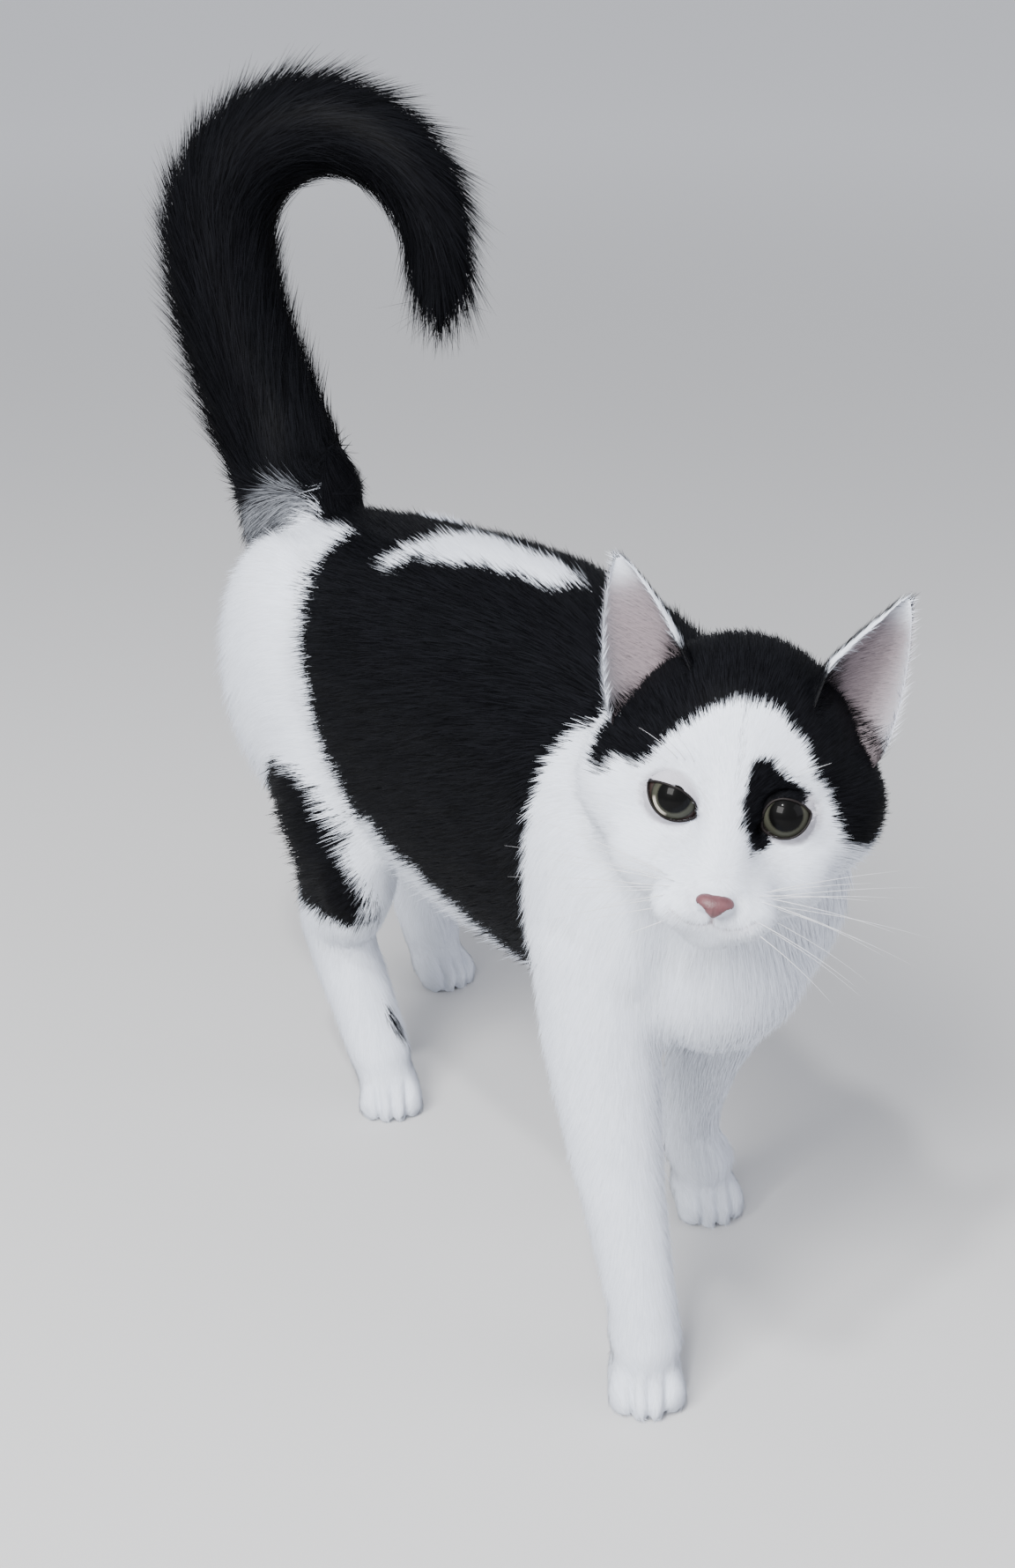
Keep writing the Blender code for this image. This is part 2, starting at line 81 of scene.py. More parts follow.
# The tail's upright hook, as in the solid
TAIL_FOOT = Vector((-0.0087, 0.1818, 0.235))
TAIL_TURN = math.radians(-45)
TAIL_TIP = Vector((0.038, 0.136, 0.328))
HOOK_AHEAD = 0.0135
HOOK_HEIGHT = 0.371

# Ears in the head's frame: root, tip, how far the cup is turned outwards
EARS = {
    "right": (Vector((-0.0275, 0.029, 0.022)), Vector((-0.0490, 0.035, 0.0670)), math.radians(12)),
    "left": (Vector((0.0305, 0.030, 0.023)), Vector((0.0455, 0.038, 0.0675)), math.radians(28)),
}
EAR_HALF_WIDTH = 0.0158

# Each paw's middle on the floor and how far it turns
PAWS = {
    "front_right": (Vector((-0.0363, -0.1762, 0)), math.radians(-27)),
    "front_left": (Vector((0.0500, -0.0842, 0)), math.radians(-14)),
    "hind_right": (Vector((-0.0332, 0.0538, 0)), math.radians(-20)),
    "hind_left": (Vector((0.0428, 0.1528, 0)), math.radians(2)),
}


# ---------------------------------------------------------------- settings


class CatCoatSettings(bpy.types.PropertyGroup):
    """Sizes and colours of the coat."""

    # The white's cool blue tint is the painted colour of a bluish light on the fur
    white: FloatVectorProperty(
        name="White", description="Colour of the white coat", subtype="COLOR", size=3,
        min=0, max=1, default=(0.77, 0.815, 0.905),
    )
    black: FloatVectorProperty(
        name="Black", description="Colour of the black coat", subtype="COLOR", size=3,
        min=0, max=1, default=(0.0032, 0.0034, 0.0043),
    )
    fullness: FloatProperty(
        name="Fullness", description="How many tufts grow, as a share of the full coat",
        subtype="FACTOR", min=0.05, max=1.2, default=1.0,
    )
    voxel: FloatProperty(
        name="Skin grain", description="Grid on which the skin is drawn over the flesh",
        subtype="DISTANCE", unit="LENGTH", min=0.001, max=0.01, default=0.0025,
    )
    seed: IntProperty(name="Seed", description="Seed of the coat's small irregularities", default=11)


class CatFaceSettings(bpy.types.PropertyGroup):
    """Colours of the eyes, nose and ears."""

    iris: FloatVectorProperty(
        name="Iris", description="Colour of the iris", subtype="COLOR", size=3,
        min=0, max=1, default=(0.048, 0.049, 0.037),
    )
    nose: FloatVectorProperty(
        name="Nose", description="Colour of the nose pad", subtype="COLOR", size=3,
        min=0, max=1, default=(0.140, 0.054, 0.062),
    )
    ear: FloatVectorProperty(
        name="Ear", description="Colour inside the ears", subtype="COLOR", size=3,
        min=0, max=1, default=(0.185, 0.155, 0.170),
    )


class CatStageSettings(bpy.types.PropertyGroup):
    """Camera and light."""

    camera_place: FloatVectorProperty(
        name="Camera place", description="Where the camera stands", subtype="TRANSLATION",
        unit="LENGTH", size=3, default=(-0.3847, -0.7162, 0.52),
    )
    camera_pitch: FloatProperty(
        name="Camera pitch", description="How far the camera looks down", subtype="ANGLE",
        unit="ROTATION", default=math.radians(23),
    )
    camera_heading: FloatProperty(
        name="Camera heading", description="Turn of the camera from straight along +Y",
        subtype="ANGLE", unit="ROTATION", default=math.atan2(-0.473, 0.881),
    )
    floor: FloatVectorProperty(
        name="Floor", description="Colour of the floor", subtype="COLOR", size=3,
        min=0, max=1, default=(0.62, 0.62, 0.62),
    )


# ---------------------------------------------------------------- small helpers


def smooth(low, high, value):
    """Rises smoothly from 0 at low to 1 at high."""
    t = np.clip((value - low) / (high - low), 0, 1)
    return t * t * (3 - 2 * t)


def mix(a, b, share):
    """Blends two fields."""
    return a + (b - a) * share


def paint(ground, *steps):
    """Lays values over a field, one after another, each by its own weight."""
    field = ground
    for value, weight in steps:
        if np.ndim(field) > 1:
            weight = weight[:, None]
        field = field * (1 - weight) + value * weight
    return field


def unit(rows):
    """Rows scaled to length one."""
    return rows / np.maximum(np.linalg.norm(rows, axis=1), 1e-9)[:, None]


def away_from(points, middle, stretch=(1.0, 1.0, 1.0)):
    """Distance of points from a place, in the stretched measure of an ellipsoid."""
    return np.linalg.norm((points - np.array(middle)) / stretch, axis=1)


def read_rows(source, key, count):
    """Three numbers for each of count items, as rows."""
    values = np.empty(count * 3, np.float32)
    source.foreach_get(key, values)
    return values.reshape(-1, 3).astype(float)


def read_points(mesh):
    """A mesh's points as rows."""
    return read_rows(mesh.vertices, "co", len(mesh.vertices))


def read_normals(mesh):
    """A mesh's point normals as rows."""
    return read_rows(mesh.vertex_normals, "vector", len(mesh.vertices))


def read_edges(mesh):
    """A mesh's edges as pairs of point numbers."""
    values = np.empty(len(mesh.edges) * 2, np.int32)
    mesh.edges.foreach_get("vertices", values)
    return values.reshape(-1, 2)


def write_points(mesh, points):
    """Puts rows back as a mesh's points."""
    mesh.vertices.foreach_set("co", np.asarray(points, np.float32).ravel())
    mesh.update()


def read_field_values(mesh, name):
    """The numbers of a field on a mesh's points."""
    values = np.empty(len(mesh.vertices), np.float32)
    mesh.attributes[name].data.foreach_get("value", values)
    return values.astype(float)


def set_field(mesh, name, values, kind="FLOAT", domain="POINT"):
    """Stores a field on a mesh under a name."""
    layer = mesh.attributes.get(name) or mesh.attributes.new(name, kind, domain)
    key = "vector" if kind == "FLOAT_VECTOR" else "value"
    layer.data.foreach_set(key, np.asarray(values, np.int32 if kind == "INT" else np.float32).ravel())


def set_fields(mesh, **fields):
    """Stores fields on a mesh's points; a plain number stands for the whole surface."""
    for name, values in fields.items():
        if np.ndim(values) == 0:
            values = np.full(len(mesh.vertices), values)
        set_field(mesh, name, values, "FLOAT_VECTOR" if np.ndim(values) > 1 else "FLOAT")


def relax(values, edges, rounds):
    """Averages a field with its neighbours."""
    count = len(values)
    degree = np.bincount(edges.ravel(), minlength=count).astype(float)
    degree[degree == 0] = 1
    flat = values.reshape(count, -1)
    for _ in range(rounds):
        total = np.zeros_like(flat)
        for column in range(flat.shape[1]):
            total[:, column] = np.bincount(edges[:, 0], flat[edges[:, 1], column], count)
            total[:, column] += np.bincount(edges[:, 1], flat[edges[:, 0], column], count)
        flat = 0.5 * flat + 0.5 * total / degree[:, None]
    return flat.reshape(values.shape)


def along_surface(ways, normals):
    """Directions laid down on a surface."""
    return unit(ways - normals * (ways * normals).sum(1)[:, None])


def head_points(points):
    """Points in the head's frame, in centimetres."""
    return (points - np.array(HEAD_PLACE)) @ np.array(HEAD_TURN) / CM


def head_directions(rows):
    """Head directions turned into body directions."""
    return rows @ np.array(HEAD_TURN).T


def eye_distance(points, side):
    """Distance of points from the middle of an eyeball, in centimetres."""
    return np.linalg.norm(points - np.array(EYE_BALLS[side]), axis=1) / CM


def new_object(name, mesh):
    """Links a mesh as an object at the origin."""
    made = bpy.data.objects.new(name, mesh)
    bpy.context.scene.collection.objects.link(made)
    return made


def plain_mesh(source):
    """The evaluated shape of an object as a mesh of its own."""
    depsgraph = bpy.context.evaluated_depsgraph_get()
    return bpy.data.meshes.new_from_object(source.evaluated_get(depsgraph))


def shade_smooth(mesh):
    """Smooth shading all over."""
    mesh.polygons.foreach_set("use_smooth", [True] * len(mesh.polygons))


def smooth_mesh(name, shape):
    """A smooth mesh from a shape in work, with its faces turned outwards."""
    bmesh.ops.recalc_face_normals(shape, faces=shape.faces[:])
    mesh = bpy.data.meshes.new(name)
    shape.to_mesh(mesh)
    shape.free()
    shade_smooth(mesh)
    return mesh


def bridge(shape, low, high, closed=True):
    """Faces between two lines of points."""
    count = len(low)
    for k in range(count if closed else count - 1):
        after = (k + 1) % count
        shape.faces.new((low[k], low[after], high[after], high[k]))


def add_rows(shape, rows, closed=True, capped=True):
    """Points and faces over rows, each closed round; the first and last row may be capped."""
    lines = [[shape.verts.new(p) for p in row] for row in rows]
    for low, high in zip(lines, lines[1:]):
        bridge(shape, low, high, closed)
    if capped:
        shape.faces.new(lines[0][::-1])
        shape.faces.new(lines[-1])
    return lines


def finish_piece(piece, slot, *nodes):
    """Rides the piece on the cat and hides the solids it stands for."""
    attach(piece, "root")
    if nodes:
        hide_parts(*nodes)


# ---------------------------------------------------------------- markings

# A marking drawn with rounded bars: the start and end of each bar and its radius there
BACK_BAR = (
    ((-2.5, 5.3), (-0.2, 5.2), 0.50, 1.00),
    ((-0.7, 3.4), (0.2, 0.2), 1.30, 1.20),
    ((0.1, 4.6), (0.35, -3.0), 1.35, 1.00),
)
EYE_PATCH = (
    ((0.93, 1.50), (0.95, 0.30), 0.50, 0.52),
    ((0.95, 0.30), (1.22, -0.75), 0.52, 0.30),
    ((1.10, 1.30), (2.10, 0.75), 0.50, 0.40),
)
SPINE_BAR = (((-0.1, 9.0), (0.5, 16.8), 1.90, 2.45),)

# The cap's lower border over the face: place across the head and height
CAP_BORDER = (
    (-5.2, -0.2), (-4.7, -0.1), (-4.2, 0.4), (-4.0, 0.7),
    (-3.4, 0.75), (-3.0, 1.0), (-2.6, 1.7), (-2.2, 2.15),
    (-1.7, 2.6), (-1.3, 3.0), (-0.8, 3.3), (-0.2, 3.6), (0.5, 3.5), (1.2, 3.25), (1.7, 2.85), (2.1, 2.4),
    (2.4, 1.9), (2.6, 1.5), (3.1, 1.0), (3.5, 0.4), (3.8, -0.3), (4.1, -1.0), (4.6, -1.2), (5.2, -1.3),
)
# The saddle's rear border and the thigh patch's front border: height and place along the body
SADDLE_REAR = ((12, 3.6), (16, 4.9), (20.6, 8.0), (25.0, 10.6), (27.5, 11.6))
THIGH_FRONT = ((8.6, 6.0), (9.3, 5.3), (10.7, 4.5), (12.6, 4.5), (14.2, 5.2), (15.9, 6.6), (17.0, 8.4))
# Middle of the black streak inside the right hock, and of the grey hair beside the tail's foot
HOCK_STREAK = (-2.39, 5.34, 4.1)
GREY_HAIR = (-3.3, 17.2, 25.2)


def border(line, value):
    """Height of a border line over a value."""
    places, heights = zip(*line)
    return np.interp(value, places, heights)


def in_bars(points, bars):
    """How far inside a group of rounded bars flat points lie."""
    best = np.full(len(points), -np.inf)
    for start, end, start_radius, end_radius in bars:
        a, d = np.array(start), np.array(end) - np.array(start)
        t = np.clip(((points - a) @ d) / (d @ d), 0, 1)
        off = np.linalg.norm(points - a - t[:, None] * d, axis=1)
        best = np.maximum(best, mix(start_radius, end_radius, t) - off)
    return best


def all_of(*depths):
    """How far inside every one of several shapes."""
    return np.minimum.reduce(depths)


def any_of(*depths):
    """How far inside at least one of several shapes."""
    return np.maximum.reduce(depths)


def ripple(points, size, seed):
    """A smooth irregular wave between -1 and 1."""
    rng = np.random.default_rng(seed)
    total = np.zeros(len(points))
    for _ in range(6):
        way = rng.normal(size=3)
        way /= np.linalg.norm(way)
        total += np.sin(points @ way * (2 * math.pi / size) * rng.uniform(0.6, 1.6) + rng.uniform(0, 6.3))
    return total / 3.0


def dark_back(p):
    """Saddle over both flanks, nape and spine, less the white bar along the back."""
    x, y, z = p.T
    left = smooth(0, 3, x)
    rear = border(SADDLE_REAR, z) - left * 1.2
    front = -10.1 - 0.12 * (z - 18) + left * 1.0
    low = 14.7 + 0.26 * y + left * 0.8
    saddle = all_of(y - front, rear - y, z - low)
    saddle = np.where(y > 4.0, any_of(saddle, all_of(rear - y, z - 15.2)), saddle)
    nape = all_of(z - 24.4 - 0.3 * np.maximum(np.abs(x) - 3.0, 0), -6.0 - y)
    spine = all_of(in_bars(p[:, :2], SPINE_BAR), z - 23)
    bar = all_of(in_bars(p[:, :2], BACK_BAR), z - 25.2)
    return all_of(any_of(saddle, nape, spine), -bar)


def dark_hind_leg(p):
    """Right thigh and shank, and the streak inside the hock."""
    x, y, z = p.T
    top = 16.4 - 0.05 * (y - 8) - 0.75 * np.maximum(y - 10, 0)
    fold = -x - 3.6 - 0.44 * (z - 9.3) + 1.2 * np.maximum(y - 6.0, 0)
    patch = all_of(y - border(THIGH_FRONT, z), top - z, z - 9.2, fold, -1.2 - x)
    return any_of(patch, 0.48 - away_from(p, HOCK_STREAK, (1.0, 1.0, 2.6)))


def dark_tail(p):
    """The tail; its black starts lower behind than in front."""
    x, y, z = p.T
    root = np.hypot(x - TAIL_FOOT.x / CM, y - TAIL_FOOT.y / CM)
    tail = (z - 26.4 + 1.4 * np.maximum(y - 16.3, 0)) / 1.4 - 3.0 * smooth(3.6, 4.8, root) * (z < 27)
    return all_of(tail, y - 11.0)


def dark_head(h, z):
    """Cap, the patch at the left eye and the back of the head down to the nape."""
    hx, hy, hz = h.T
    side_low = np.where(hx > 0, -1.4, 0.9)
    cap = mix(hz - border(CAP_BORDER, hx), hz - side_low - 0.35 * (hy - 2), smooth(1.6, 3.4, hy))
    patch = in_bars(h[:, [0, 2]], EYE_PATCH) - 0.6 * (hy > 2.5)
    behind = all_of(z - 24.6, hy - 3.0, 2.6 - np.abs(hx - 0.6))
    return any_of(any_of(cap, patch) + ripple(h, 0.8, 6) * 0.07, behind)


def dark_depth(points):
    """How far inside the black coat a point lies, in centimetres; negative in the white."""
    p = points / CM
    h = head_points(points)
    x, y, z = p.T
    loose = any_of(smooth(0.5, 3, x), smooth(11, 13.5, y)) * smooth(26, 24, z)
    wave = ripple(p, 2.6, 3) * 0.18 + ripple(p, 0.9, 4) * 0.09 + ripple(p, 7.0, 5) * 0.55 * loose
    body = any_of(dark_back(p), dark_hind_leg(p), dark_tail(p)) + wave
    near_head = smooth(7.2, 5.6, away_from(h, (0, 2.2, -0.4)))
    return mix(body, dark_head(h, z), near_head)


# ---------------------------------------------------------------- the coat's lie and measures

# Middle of the fold before the right knee, of the tail's foot, and of the hair beside it
KNEE_FOLD = (-4.2, 4.5, 11.0)
TAIL_RING = (-1.2, 17.2, 25.5)
BESIDE_TAIL = (-3.4, 17.2, 24.6)


def coat_zones(points):
    """How far each point belongs to each part of the coat, 0 to 1."""
    p = points / CM
    h = head_points(points)
    x, y, z = p.T
    hx, hy, hz = h.T
    in_head = smooth(6.6, 5.2, away_from(h, (0, 2.2, -0.6), (1.0, 1.0, 0.95)))
    low_leg = smooth(11.4, 8.6, z)
    trunk = (1 - in_head) * (1 - low_leg)
    knee = away_from(p, KNEE_FOLD, (3.0, 2.2, 3.2))
    beside = smooth(3.2, 2.2, away_from(p, BESIDE_TAIL)) * smooth(27.0, 26.2, z)
    return {
        "in_head": in_head,
        "face": in_head * smooth(2.2, 0.6, hy + 0.25 * np.abs(hx)),
        "snout": smooth(2.6, 1.2, away_from(h, (0, -1.9, -2.3))),
        "cheek": in_head * smooth(2.0, 3.6, np.abs(hx)) * smooth(1.2, -1.2, hz),
        "neck": smooth(-8.5, -11.5, y) * (1 - in_head) * smooth(20, 24, z),
        "chest": smooth(-8.0, -12.0, y) * trunk * smooth(26.0, 22.5, z),
        "thigh": smooth(9.0, 13.0, y) * smooth(25, 20, z) * (1 - low_leg),
        "rump": smooth(15.5, 18.5, y) * smooth(26.0, 24.0, z) * (1 - low_leg),
        "low_leg": low_leg,
        "knee": smooth(1.3, 0.7, knee),
        "paw": smooth(3.9, 2.1, z),
        "tail": smooth(25.2, 27.0, z) * any_of(smooth(12.0, 14.5, y), smooth(8.0, 10.0, y) * (z > 30)),
        "tail_ring": smooth(4.6, 2.6, away_from(p, TAIL_RING)),
        "climb": smooth(23.6, 25.4, z) * smooth(13.6, 15.4, y),
        "beside": beside * smooth(-0.6, -1.6, x),
    }


def tail_lie(points):
    """The way along the tail at each point, and how near its tip the point lies."""
    ahead = np.array((math.cos(TAIL_TURN), math.sin(TAIL_TURN), 0))
    above = np.array((0.0, 0.0, 1.0))
    y, height = points[:, 1] / CM, points[:, 2]
    run = (points - np.array(TAIL_FOOT)) @ ahead - HOOK_AHEAD
    rise = height - HOOK_HEIGHT
    spin = unit(np.outer(rise, ahead) - np.outer(run, above))
    up = unit(np.outer(-0.18 * smooth(0.30, 0.26, height), ahead) + above)
    way = np.where((rise > 0)[:, None], spin, np.where((run < 0)[:, None], up, -above))
    tip = smooth(37.4, 35.4, height / CM) * (height > 0.30) * (y > 8) * (run > 0.03)
    return way, tip


def coat_lie(points, zones, tail_way, tip):
    """The way the hair lies at each point."""
    h = head_points(points)

    def way(*values):
        return np.tile(np.array(values, float), (len(points), 1))

    from_head = unit(points - np.array(HEAD @ Vector((0, 0.015, 0))))
    from_nose = unit(h - np.array((0, -2.6, -1.3)))
    from_nose[:, 2] -= 0.25 * zones["in_head"]
    lie = paint(
        way(0, 1, -0.42),
        (way(0, 0.55, -1), zones["thigh"]),
        (way(0, 0.1, -1), zones["rump"]),
        (way(0, 0.25, -1), zones["chest"]),
        (way(0, 0.12, -1), zones["low_leg"]),
        (from_head + way(0, 0.3, -0.3), zones["neck"]),
        (head_directions(from_nose), zones["in_head"]),
    )
    for leg, (_middle, turn) in PAWS.items():
        across, ahead, _height = paw_places(points, leg)
        here = zones["paw"] * (np.hypot(across, ahead) < 4)
        lie = paint(lie, (way(math.sin(turn), -math.cos(turn), -0.35), here))
    return paint(
        lie,
        (way(0, 0.15, 1), zones["climb"]),
        (tail_way, zones["tail"]),
        (unit(np.array(TAIL_TIP) - points), tip),
        (way(-0.35, 0.55, -0.75), zones["beside"]),
    )


def coat_measures(points, zones, tip):
    """Length, width, lift and number of the tufts, and the depth of the skin under them."""
    y, z = points[:, 1] / CM, points[:, 2] / CM
    count = len(points)
    reach = paint(
        np.full(count, 1.3),
        (1.8, smooth(16, 13, z)),
        (1.3, zones["chest"]),
        (0.95, zones["chest"] * smooth(18, 15.5, z)),
        (1.8, zones["rump"]),
        (1.5, zones["thigh"]),
        (0.7, zones["knee"]),
        (0.85, zones["low_leg"]),
        (0.42, zones["paw"]),
        (0.66, zones["in_head"]),
        (0.90, zones["cheek"]),
        (0.40, zones["face"]),
        (0.30, zones["snout"]),
        (2.6, zones["tail"]),
        (2.9, tip),
        (1.25, zones["tail_ring"]),
        (0.24, smooth(1.55, 1.15, eye_distance(points, "right"))),
        (0.24, smooth(1.55, 1.15, eye_distance(points, "left"))),
    )
    girth = np.minimum(0.026 + 0.030 * reach, 0.080) * mix(1.0, 1.25, zones["chest"])
    rise = paint(
        np.full(count, 0.17),
        (0.10, zones["chest"]),
        (0.25, any_of(zones["rump"], smooth(14.5, 16.5, y) * smooth(11, 14, z))),
        (0.32, zones["tail"]),
        (0.15, zones["in_head"]),
        (0.12, zones["low_leg"]),
        (0.06, zones["knee"]),
        (0.14, zones["tail_ring"]),
    )
    depth = reach * rise * mix(0.85, 0.40, zones["tail"])
    depth = np.minimum(depth, 0.06 + 0.25 * np.maximum(z, 0))
    layers = paint(
        np.full(count, 4.7),
        (4.4, zones["chest"]),
        (2.9, zones["low_leg"]),
        (1.5, zones["paw"]),
        (3.2, zones["face"]),
        (6.5, zones["tail"]),
    )
    thick = layers / (0.5 * girth * reach) * smooth(0.02, 0.25, z)
    return {
        "reach": reach * CM, "girth": girth * CM, "rise": rise, "thick": thick / CM**2, "depth": depth * CM,
    }


# ---------------------------------------------------------------- materials


def link(tree, source, target):
    """Joins two sockets of a node tree."""
    tree.links.new(source, target)


def add_node(tree, kind, inputs=(), **settings):
    """Adds a node with its settings; each input takes a value or another node's socket."""
    node = tree.nodes.new(kind)
    for key, value in settings.items():
        setattr(node, key, value)
    for key, value in dict(inputs).items():
        if isinstance(value, bpy.types.NodeSocket):
            link(tree, value, node.inputs[key])
        else:
            node.inputs[key].default_value = value
    return node


def read_field(tree, name):
    """The values of a named field of the mesh, in a material."""
    return add_node(tree, "ShaderNodeAttribute", attribute_name=name).outputs["Fac"]


def own_place(tree):
    """The place on the object itself."""
    return add_node(tree, "ShaderNodeTexCoord").outputs["Object"]


def grain_of(tree, place, scale, detail=2.0):
    """A fine irregular grain over a place."""
    noise = add_node(tree, "ShaderNodeTexNoise", {"Vector": place, "Scale": scale, "Detail": detail})
    return noise.outputs["Fac"]


def stretched(tree, place, stretch, turn=(0, 0, 0)):
    """A place turned and stretched along its axes."""
    node = add_node(tree, "ShaderNodeMapping", {"Vector": place, "Rotation": turn, "Scale": stretch})
    return node.outputs["Vector"]


def between(tree, value, low, high):
    """A value from 0 to 1 spread between two numbers."""
    stretch = add_node(tree, "ShaderNodeMapRange", {"Value": value, "To Min": low, "To Max": high})
    return stretch.outputs["Result"]


def times_colour(tree, colour, amount):
    """A colour made lighter or darker."""
    node = add_node(tree, "ShaderNodeVectorMath", {0: colour, "Scale": amount}, operation="SCALE")
    return node.outputs[0]


def mix_colours(tree, share, first, second):
    """A blend of two colours."""
    return add_node(tree, "ShaderNodeMix", {0: share, 6: first, 7: second}, data_type="RGBA").outputs[2]


def colour_steps(tree, value, *stops):
    """Colours over a value, each with the place at which it is pure."""
    node = add_node(tree, "ShaderNodeValToRGB", {"Fac": value})
    ramp = node.color_ramp
    while len(ramp.elements) < len(stops):
        ramp.elements.new(0.5)
    for element, (place, colour) in zip(ramp.elements, stops):
        element.position = place
        element.color = (*colour, 1)
    return node.outputs["Color"]


def tinted(colour, strength):
    """A colour made lighter or darker, within what a surface can have."""
    return tuple(min(1, channel * strength) for channel in colour)


def new_material(name, inputs=()):
    """A material with its Principled shader; inputs are set when the tree is made."""
    material = bpy.data.materials.new(name)
    material.use_nodes = True
    shader = material.node_tree.nodes["Principled BSDF"]
    for key, value in dict(inputs).items():
        shader.inputs[key].default_value = value
    return material, material.node_tree, shader


def roughen(tree, shader, height, strength, distance):
    """Raises a surface by a height."""
    bump = add_node(tree, "ShaderNodeBump", {"Height": height, "Strength": strength, "Distance": distance})
    link(tree, bump.outputs["Normal"], shader.inputs["Normal"])


def coat_group():
    """Shared node group: the coat's colour and roughness from its markings."""
    known = bpy.data.node_groups.get("coat_colour")
    if known:
        return known
    tree = bpy.data.node_groups.new("coat_colour", "ShaderNodeTree")
    for name in ("Dark", "Shade", "Along", "Pink"):
        tree.interface.new_socket(name, in_out="INPUT", socket_type="NodeSocketFloat")
    for name in ("White", "Black"):
        tree.interface.new_socket(name, in_out="INPUT", socket_type="NodeSocketColor")
    tree.interface.new_socket("Colour", in_out="OUTPUT", socket_type="NodeSocketColor")
    tree.interface.new_socket("Roughness", in_out="OUTPUT", socket_type="NodeSocketFloat")
    given = add_node(tree, "NodeGroupInput").outputs
    # Roots are painted a little darker than tips, painted shade deep in the coat, and no two tufts are quite
    # alike
    along = between(tree, given["Along"], 0.93, 1.03)
    vary = between(tree, given["Shade"], 0.90, 1.06)
    tone = add_node(tree, "ShaderNodeMath", {0: along, 1: vary}, operation="MULTIPLY").outputs[0]
    white = times_colour(tree, given["White"], tone)
    flush = mix_colours(tree, given["Pink"], white, (0.28, 0.235, 0.255, 1))
    # Each black tuft takes a random brightness, 0.4 to 2.2 times the black: painted glints scattered over the
    # black hair
    black_painted_glints = times_colour(tree, given["Black"], between(tree, given["Shade"], 0.4, 2.2))
    colour = mix_colours(tree, given["Dark"], flush, black_painted_glints)
    rough = between(tree, given["Dark"], 0.62, 0.46)
    add_node(tree, "NodeGroupOutput", {"Colour": colour, "Roughness": rough})
    return tree


def add_coat_colour(tree, *fields):
    """The coat's group in a material, fed with the fields of the mesh."""
    coat = bpy.context.scene.cat_coat
    inputs = {"White": (*coat.white, 1), "Black": (*coat.black, 1)}
    inputs.update({name.capitalize(): read_field(tree, name) for name in fields})
    return add_node(tree, "ShaderNodeGroup", inputs, node_tree=coat_group()).outputs


def coat_material(name, grain):
    """Fur: white or black by the markings; grain adds the fine hair to bare skin."""
    known = bpy.data.materials.get(name)
    if known:
        return known
    material, tree, shader = new_material(name, {"Specular IOR Level": 0.025})
    fur = add_coat_colour(tree, "dark", "shade", "along", "pink")
    link(tree, fur["Colour"], shader.inputs["Base Color"])
    link(tree, fur["Roughness"], shader.inputs["Roughness"])
    if grain:
        place = own_place(tree)
        level, hanging = (
            grain_of(tree, stretched(tree, place, stretch), 1.0, 3.0)
            for stretch in ((1400, 160, 700), (1100, 1100, 150))
        )
        inputs = {0: read_field(tree, "upright"), 2: level, 3: hanging}
        hair = add_node(tree, "ShaderNodeMix", inputs, data_type="FLOAT").outputs[0]
        roughen(tree, shader, hair, 0.35, 0.0006)
    return material


def ear_material():
    """Thin skin: dusky pink inside with fine rows, the coat's black behind."""
    known = bpy.data.materials.get("ear_skin")
    if known:
        return known
    look = bpy.context.scene.cat_face
    material, tree, shader = new_material("ear_skin", {"Roughness": 0.6, "Specular IOR Level": 0.3})
    rows = stretched(tree, own_place(tree), (160, 400, 1500), (0, math.radians(40), math.radians(-36)))
    grain = grain_of(tree, rows, 1.0, 3.0)
    flesh = colour_steps(tree, grain, (0.35, tinted(look.ear, 0.72)), (0.68, tinted(look.ear, 1.30)))
    fur = add_coat_colour(tree, "dark", "shade", "along")
    link(tree, mix_colours(tree, read_field(tree, "pink"), fur["Colour"], flesh), shader.inputs["Base Color"])
    roughen(tree, shader, grain, 0.3, 0.0004)
    return material


PUPIL_ANGLE = 33.0
IRIS_ANGLE = 52.0


